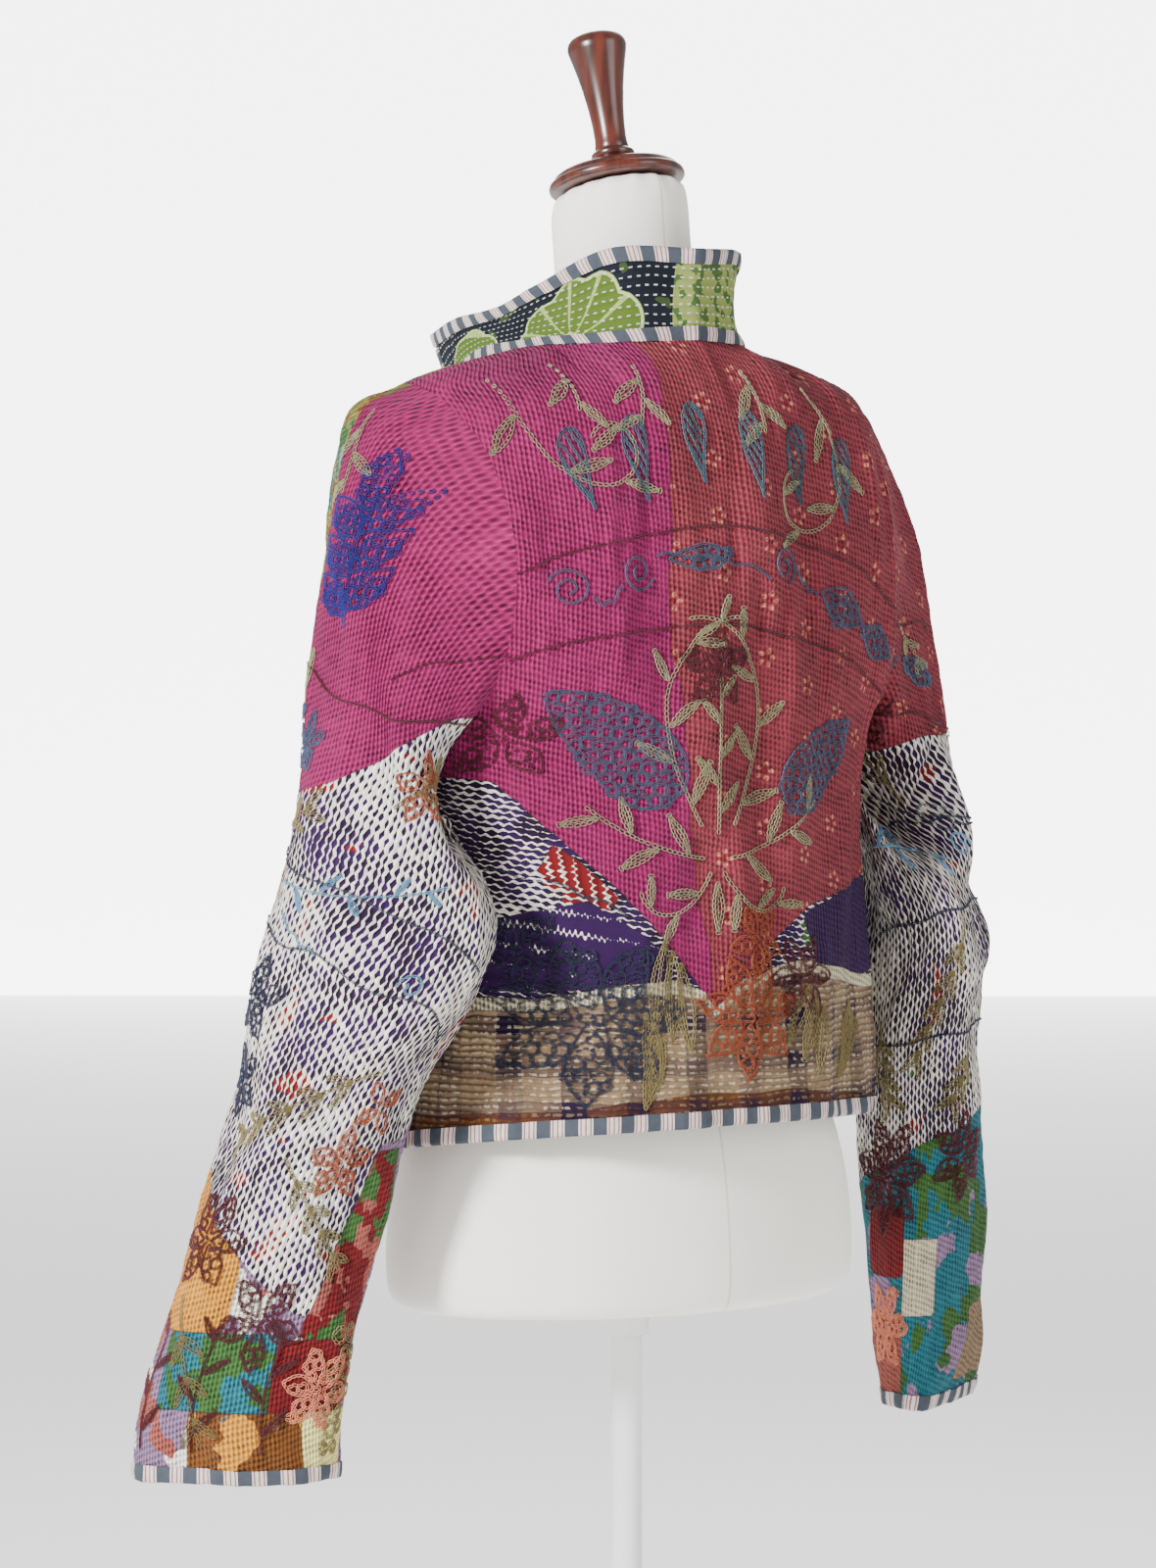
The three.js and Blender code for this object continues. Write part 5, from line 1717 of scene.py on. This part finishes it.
class JACKET_OT_fronts(bpy.types.Operator):
    """Make the two open fronts"""

    bl_idname = "jacket.make_fronts"
    bl_label = "Fronts"

    def execute(self, context):
        sizes, dyes = context.scene.cloth_sizes, context.scene.cloth_colours
        material = patched_material("hand-quilted printed cotton of the fronts", front_layers(dyes, sizes))
        panel, arcs = front_panel(sizes)
        PANELS["front"] = panel
        inner = inner_of(panel, sizes.wall / MM)
        for side, word in ((1, "left"), (-1, "right")):
            flip = np.array([side, 1, 1])
            uv = flat_uv(arcs + 300 * side, panel)
            piece = wall_piece(f"quilted_front_{word}", panel.points * flip, inner * flip, uv=uv)
            finish_piece(piece, material, [f"jacket_front_{word}"])
        return {"FINISHED"}


class JACKET_OT_sleeves(bpy.types.Operator):
    """Make the two wide sleeves, cut in one with the body and pieced at the cuffs"""

    bl_idname = "jacket.make_sleeves"
    bl_label = "Sleeves"

    def execute(self, context):
        sizes, dyes = context.scene.cloth_sizes, context.scene.cloth_colours
        for side, word, patches, blocks, seam, layers, seed in (
            (1, "left", LEFT_SLEEVE_PATCHES, LEFT_CUFF_BLOCKS, SLEEVE_GIRTH / 4, left_sleeve_layers, 0.4),
            (
                -1, "right", RIGHT_SLEEVE_PATCHES, RIGHT_CUFF_BLOCKS, SLEEVE_GIRTH / 2, right_sleeve_layers,
                2.9
            ),
        ):
            panel, arounds = sleeve_panel(sizes, side, seed)
            PANELS[f"sleeve_{word}"] = panel
            ends = np.append(arounds, 1.0) * SLEEVE_GIRTH - SLEEVE_GIRTH / 4
            up = np.concatenate([panel.up, panel.up[:, :1]], axis=1)
            uv = np.stack([np.broadcast_to(ends, up.shape), up], axis=2)
            inner = inner_of(panel, sizes.wall / MM)
            piece = wall_piece(
                f"quilted_sleeve_{word}", panel.points, inner, True, uv,
                marks_for(panel, patches, seam, blocks)
            )
            material = patched_material(
                f"hand-quilted cotton patchwork of the {word} sleeve", layers(dyes, sizes)
            )
            finish_piece(piece, material, [f"sleeve_{word}"])
        return {"FINISHED"}


class JACKET_OT_collar(bpy.types.Operator):
    """Make the standing collar"""

    bl_idname = "jacket.make_collar"
    bl_label = "Collar"

    def execute(self, context):
        sizes, dyes = context.scene.cloth_sizes, context.scene.cloth_colours
        panel, arcs = collar_panel(sizes)
        PANELS["collar"] = panel
        inner = inner_of(panel, sizes.wall / MM)
        uv = flat_uv(arcs, panel)
        piece = wall_piece("standing_collar", panel.points, inner, uv=uv, marks=collar_marks(arcs, panel.up))
        finish_piece(piece, collar_material(dyes), ["collar"])
        return {"FINISHED"}


class JACKET_OT_tapes(bpy.types.Operator):
    """Fold the striped tape over the hem, fronts, cuffs and collar"""

    bl_idname = "jacket.make_tapes"
    bl_label = "Striped tapes"

    def execute(self, context):
        sizes, dyes = context.scene.cloth_sizes, context.scene.cloth_colours
        material = tape_material(dyes, sizes.stripe / MM)
        back, front, collar = PANELS["back"], PANELS["front"], PANELS["collar"]
        tapes = []

        def run(name, rows, nodes, rests, **options):
            piece, total = tape_piece(name, *rows, sizes, **options)
            tapes.append((piece, total, nodes, rests, options))

        left = tape_rows(front.points, front.normals, 3)
        behind = tape_rows(back.points, back.normals, 3)
        mirror = np.array([-1, 1, 1])
        right = [one[::-1] * mirror for one in left]
        hem = [np.concatenate([a[:-1], b, c[1:]]) for a, b, c in zip(left, behind, right)]
        run("hem_tape", hem, ["binding_hem"], ["quilted_back"])
        edge, inward, normal = front.points[:, 0], front.points[:, 2] - front.points[:, 0], front.normals[:, 0]
        inward = inward / np.linalg.norm(inward, axis=1, keepdims=True)
        run("front_tape_left", (edge, inward, normal), ["binding_front_left"], ["quilted_front_left"])
        rows = tuple(one * mirror for one in (edge, inward, normal))
        run("front_tape_right", rows, ["binding_front_right"], ["quilted_front_right"])
        for word in ("left", "right"):
            sleeve = PANELS[f"sleeve_{word}"]
            rows = tape_rows(sleeve.points[::-1], sleeve.normals[::-1], 3)
            run(f"cuff_tape_{word}", rows, [f"binding_cuff_{word}"], [f"quilted_sleeve_{word}"], closed=True)
        rows = tape_rows(collar.points[::-1], collar.normals[::-1], 4)
        run("collar_top_tape", rows, ["binding_collar_top"], ["standing_collar"], width=9)
        rows = tape_rows(collar.points, collar.normals, 4)
        run("collar_seam_tape", rows, ["binding_collar_seam"], ["standing_collar"], flat=True)
        for column, word in ((0, "left"), (-1, "right")):
            step = 3 if column == 0 else -4
            edge = collar.points[3:-3, column]
            inward = collar.points[3:-3, step] - edge
            inward /= np.linalg.norm(inward, axis=1, keepdims=True)
            rows = (edge, inward, collar.normals[3:-3, column])
            run(f"collar_end_tape_{word}", rows, [f"binding_collar_end_{word}"], ["standing_collar"])
        for piece, total, nodes, rests, options in tapes:
            finish_piece(piece, material, nodes)
            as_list(rests)
        return {"FINISHED"}


class JACKET_OT_embroidery(bpy.types.Operator):
    """Work the chain-stitch vines, leaves, flowers and paisleys"""

    bl_idname = "jacket.make_embroidery"
    bl_label = "Embroidery"

    def execute(self, context):
        sizes, threads = context.scene.cloth_sizes, context.scene.thread_colours
        worked = (("back", BACK_MOTIFS), ("sleeve_left", LEFT_MOTIFS), ("sleeve_right", RIGHT_MOTIFS))
        for thread in THREADS:
            points, faces, count = [], [], 0
            for place, motifs in worked:
                if thread not in motifs:
                    continue
                some, quads = chain_links(PANELS[place], motifs[thread], sizes, OPENNESS.get(thread, 0.2))
                points.append(some)
                faces.append(quads + count)
                count += len(some)
            piece = mesh_piece(f"{thread}_chain_stitch", np.concatenate(points), np.concatenate(faces), 80)
            material = thread_material(f"{thread} cotton thread", getattr(threads, thread))
            finish_piece(piece, material)
        return {"FINISHED"}


def linen_material(colour):
    """Unbleached linen drawn tight over padding: a plain fine weave with a soft matt surface and a stitched seam."""
    material, tree, shader = new_material("stretched plain-weave linen")
    place = add_node(tree, "ShaderNodeTexCoord").outputs["Object"]
    parts = add_node(tree, "ShaderNodeSeparateXYZ", {0: place})
    behind = maths(tree, "GREATER_THAN", parts.outputs[1], -0.012)
    seam = maths(tree, "LESS_THAN", maths(tree, "ABSOLUTE", parts.outputs[0]), 0.0009)
    line = maths(tree, "MULTIPLY", seam, behind)
    cloud = add_node(tree, "ShaderNodeTexNoise", {"Vector": place, "Scale": 16.0, "Detail": 3.0}).outputs[0]
    tone = shaded(tree, opaque(colour), maths(tree, "MULTIPLY_ADD", cloud, 0.08, -0.04))
    tone = blend(tree, maths(tree, "MULTIPLY", line, 0.35), tone, opaque(linear("#A79C82")))
    tree.links.new(tone, shader.inputs["Base Color"])
    # Threads lie 1.6 mm apart here, twice the real spacing, so that the weave shows at all.
    weft = wave(tree, parts.outputs[2], 0.0016)
    warp = wave(tree, parts.outputs[0], 0.0016)
    height = maths(tree, "SUBTRACT", maths(tree, "MULTIPLY", weft, warp), maths(tree, "MULTIPLY", line, 4.0))
    relief = add_node(tree, "ShaderNodeBump", {"Strength": 0.15, "Distance": 0.0004, "Height": height})
    tree.links.new(relief.outputs[0], shader.inputs["Normal"])
    shader.inputs["Roughness"].default_value = 0.95
    shader.inputs["Specular IOR Level"].default_value = 0.2
    return material


def wood_material():
    """Turned beech stained dark red-brown under clear varnish: long streaks and a sharp gloss."""
    material, tree, shader = new_material("stained and varnished turned beech")
    place = add_node(tree, "ShaderNodeTexCoord").outputs["Object"]
    stretch = add_node(tree, "ShaderNodeMapping", {0: place, 3: (60.0, 60.0, 7.0)}).outputs[0]
    grain = add_node(tree, "ShaderNodeTexNoise", {"Vector": stretch, "Scale": 2.4, "Detail": 5.0}).outputs[0]
    ramp = add_node(tree, "ShaderNodeValToRGB", {0: grain})
    ramp.color_ramp.elements[0].position, ramp.color_ramp.elements[1].position = 0.34, 0.68
    ramp.color_ramp.elements[0].color = opaque(linear("#2A0E08"))
    ramp.color_ramp.elements[1].color = opaque(linear("#5E2616"))
    tree.links.new(ramp.outputs[0], shader.inputs["Base Color"])
    shader.inputs["Roughness"].default_value = 0.28
    shader.inputs["Coat Weight"].default_value = 0.25
    shader.inputs["Coat Roughness"].default_value = 0.2
    return material


class JACKET_OT_form(bpy.types.Operator):
    """Make the limbless dress form"""

    bl_idname = "jacket.make_form"
    bl_label = "Dress form"

    def execute(self, context):
        node = frame["nodes"]["form_body"]
        piece = bpy.data.objects.new("dress_form", node.data.copy())
        context.scene.collection.objects.link(piece)
        only(piece)
        bpy.ops.object.mode_set(mode="EDIT")
        bpy.ops.mesh.select_all(action="SELECT")
        bpy.ops.mesh.remove_doubles(threshold=0.00002)
        bpy.ops.mesh.tris_convert_to_quads(face_threshold=0.9, shape_threshold=3.1)
        bpy.ops.object.mode_set(mode="OBJECT")
        subdivide = piece.modifiers.new("rounding", "SUBSURF")
        subdivide.levels = subdivide.render_levels = 2
        bpy.ops.object.modifier_apply(modifier=subdivide.name)
        bpy.ops.object.shade_smooth_by_angle(angle=math.radians(45))
        finish_piece(piece, linen_material(context.scene.cloth_colours.linen), ["form_body"])
        return {"FINISHED"}


HEAD_TILT = 14
NECK_TOP = Vector((0, -0.011, 1.557))
CAP_PROFILE = [
    (0, 0.3), (44, 0.3), (46.6, 0.8), (48, 2.2), (48.3, 4.5), (47.6, 6.6), (45.6, 7.8), (44.6, 9), (44, 10.6),
    (41, 12.6), (31, 15.6),
    (21, 18.2), (17, 19.2), (15.6, 20.4), (14.4, 21.4), (15.4, 23), (15.2, 25), (13, 27), (0, 27),
]
FINIAL_PROFILE = [
    (0, 27.6), (11.6, 27.6), (12, 29), (11.5, 32), (11.2, 36), (11.5, 46), (12.6, 58), (14.6, 72), (16.9, 84),
    (19.0, 93), (20.5, 99),
    (21.2, 102.5), (20.6, 106), (18.4, 109), (14, 111.2), (8, 112.2), (0, 112.5),
]


def spun_wood(name, profile, steps=72):
    """A turned piece: its profile is spun about the tilted axis of the neck."""
    tilt = math.radians(HEAD_TILT)
    axis = Vector((0, -math.sin(tilt), math.cos(tilt)))
    side = Vector((1, 0, 0))
    mesh = bpy.data.meshes.new(name)
    points = [NECK_TOP + side * r * MM + axis * h * MM for r, h in profile]
    mesh.from_pydata(points, [(k, k + 1) for k in range(len(points) - 1)], [])
    piece = bpy.data.objects.new(name, mesh)
    bpy.context.scene.collection.objects.link(piece)
    only(piece)
    bpy.ops.object.mode_set(mode="EDIT")
    bpy.ops.mesh.select_all(action="SELECT")
    bpy.ops.mesh.spin(steps=steps, angle=2 * math.pi, center=NECK_TOP, axis=axis)
    bpy.ops.mesh.select_all(action="SELECT")
    bpy.ops.mesh.remove_doubles(threshold=0.00005)
    bpy.ops.mesh.normals_make_consistent(inside=False)
    bpy.ops.object.mode_set(mode="OBJECT")
    bpy.ops.object.shade_smooth_by_angle(angle=math.radians(40))
    return piece


class JACKET_OT_wood(bpy.types.Operator):
    """Turn the neck cap and its finial"""

    bl_idname = "jacket.make_wood"
    bl_label = "Neck cap and finial"

    def execute(self, context):
        material = wood_material()
        finish_piece(spun_wood("turned_neck_cap", CAP_PROFILE), material, ["neck_cap"])
        finish_piece(spun_wood("turned_finial", FINIAL_PROFILE), material, ["finial"])
        return {"FINISHED"}


class JACKET_OT_stand(bpy.types.Operator):
    """Finish the metal pole, socket and base"""

    bl_idname = "jacket.make_stand"
    bl_label = "Stand"

    def execute(self, context):
        material, tree, shader = new_material("white powder-coated steel")
        place = add_node(tree, "ShaderNodeTexCoord").outputs["Object"]
        orange_peel = add_node(tree, "ShaderNodeTexNoise", {"Vector": place, "Scale": 700.0}).outputs[0]
        relief = add_node(
            tree, "ShaderNodeBump", {"Strength": 0.08, "Distance": 0.0003, "Height": orange_peel}
        )
        tree.links.new(relief.outputs[0], shader.inputs["Normal"])
        shader.inputs["Base Color"].default_value = opaque(linear("#E4E4E4"))
        shader.inputs["Roughness"].default_value = 0.3
        for name in ("stand_base", "stand_pole", "stand_socket"):
            node = frame["nodes"][name]
            for slot in node.material_slots:
                slot.material = material
        return {"FINISHED"}


CAMERA_PLACE = (2.231, 3.015, 1.295)
CAMERA_AIM = Vector((0.0277, -0.0205, 1.1377))
CAMERA_LENS = 122.3
BACKDROP_PLACE = (-7.2, -9.7, 1.2)
BACKDROP_TURN = (math.radians(90), 0, math.radians(143.5))
# Area lamps: place and size in metres, power in watts.
LAMPS = (
    ("key", (3.7, 0.7, 2.6), 0.7, 330),
    ("fill", (-1.4, 3.8, 2.6), 2.2, 58),
    ("back", (-2.2, -2.6, 2.8), 2.4, 60),
)
LAMP_AIM = Vector((0, 0, 1.15))


class JACKET_OT_studio(bpy.types.Operator):
    """Set the camera, the pale floor and the soft lights"""

    bl_idname = "jacket.make_studio"
    bl_label = "Studio"

    def execute(self, context):
        scene = context.scene
        camera = bpy.data.objects.new("camera", bpy.data.cameras.new("camera"))
        scene.collection.objects.link(camera)
        camera.location = CAMERA_PLACE
        heading = CAMERA_AIM - camera.location
        camera.rotation_euler = heading.to_track_quat("-Z", "Y").to_euler()
        camera.data.lens = CAMERA_LENS
        camera.data.clip_start, camera.data.clip_end = 0.05, 60
        scene.camera = camera

        deselect()
        bpy.ops.mesh.primitive_plane_add(size=24, location=(0, 0, -0.0005))
        floor = context.active_object
        floor.name = "floor"
        plain, _, shader = new_material("matt white paper")
        shader.inputs["Base Color"].default_value = opaque(linear("#F6F5F3"))
        shader.inputs["Roughness"].default_value = 0.95
        shader.inputs["Emission Color"].default_value = (1.0, 1.0, 1.0, 1.0)
        shader.inputs["Emission Strength"].default_value = 0.6
        floor.data.materials.append(plain)
        floor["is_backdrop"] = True

        deselect()
        bpy.ops.mesh.primitive_plane_add(size=6, location=BACKDROP_PLACE, rotation=BACKDROP_TURN)
        backdrop = context.active_object
        backdrop.name = "backdrop"
        glowing, _, shader = new_material("lit white backdrop")
        shader.inputs["Emission Color"].default_value = (1.0, 1.0, 1.0, 1.0)
        shader.inputs["Emission Strength"].default_value = 5.0
        backdrop.data.materials.append(glowing)
        backdrop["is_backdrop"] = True

        world = bpy.data.worlds.new("studio")
        world.use_nodes = True
        world.node_tree.nodes["Background"].inputs[0].default_value = (0.97, 0.98, 1.0, 1.0)
        world.node_tree.nodes["Background"].inputs[1].default_value = 0.62
        scene.world = world
        for name, place, size, power in LAMPS:
            lamp = bpy.data.objects.new(name, bpy.data.lights.new(name, "AREA"))
            scene.collection.objects.link(lamp)
            lamp.location = place
            lamp.rotation_euler = (LAMP_AIM - lamp.location).to_track_quat("-Z", "Y").to_euler()
            lamp.data.size = size
            lamp.data.energy = power
        return {"FINISHED"}


PIECES = (
    JACKET_OT_studio,
    JACKET_OT_form,
    JACKET_OT_wood,
    JACKET_OT_stand,
    JACKET_OT_back,
    JACKET_OT_fronts,
    JACKET_OT_sleeves,
    JACKET_OT_collar,
    JACKET_OT_tapes,
    JACKET_OT_embroidery,
)


class JACKET_PT_pieces(bpy.types.Panel):
    """The jacket's pieces, sizes and colours"""

    bl_idname = "JACKET_PT_pieces"
    bl_label = "Patchwork Jacket"
    bl_space_type = "VIEW_3D"
    bl_region_type = "UI"
    bl_category = "Jacket"

    def draw(self, context):
        for piece in PIECES:
            self.layout.operator(piece.bl_idname)
        for group in (context.scene.cloth_sizes, context.scene.cloth_colours, context.scene.thread_colours):
            for key in group.__annotations__:
                self.layout.prop(group, key)


CLASSES = (ClothColours, ThreadColours, ClothSizes, *PIECES, JACKET_PT_pieces)


def register():
    for one in CLASSES:
        bpy.utils.register_class(one)
    bpy.types.Scene.cloth_colours = PointerProperty(type=ClothColours)
    bpy.types.Scene.thread_colours = PointerProperty(type=ThreadColours)
    bpy.types.Scene.cloth_sizes = PointerProperty(type=ClothSizes)


def unregister():
    del bpy.types.Scene.cloth_sizes
    del bpy.types.Scene.thread_colours
    del bpy.types.Scene.cloth_colours
    for one in reversed(CLASSES):
        bpy.utils.unregister_class(one)


def corners():
    low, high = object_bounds()
    return [list(low), list(high)]


def main():
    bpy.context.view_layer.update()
    register()
    bpy.ops.jacket.make_studio()
    bpy.ops.jacket.make_form()
    bpy.ops.jacket.make_wood()
    bpy.ops.jacket.make_stand()
    bpy.ops.jacket.make_back()
    bpy.ops.jacket.make_fronts()
    bpy.ops.jacket.make_sleeves()
    bpy.ops.jacket.make_collar()
    bpy.ops.jacket.make_tapes()
    bpy.ops.jacket.make_embroidery()


if __name__ == "__main__":
    main()
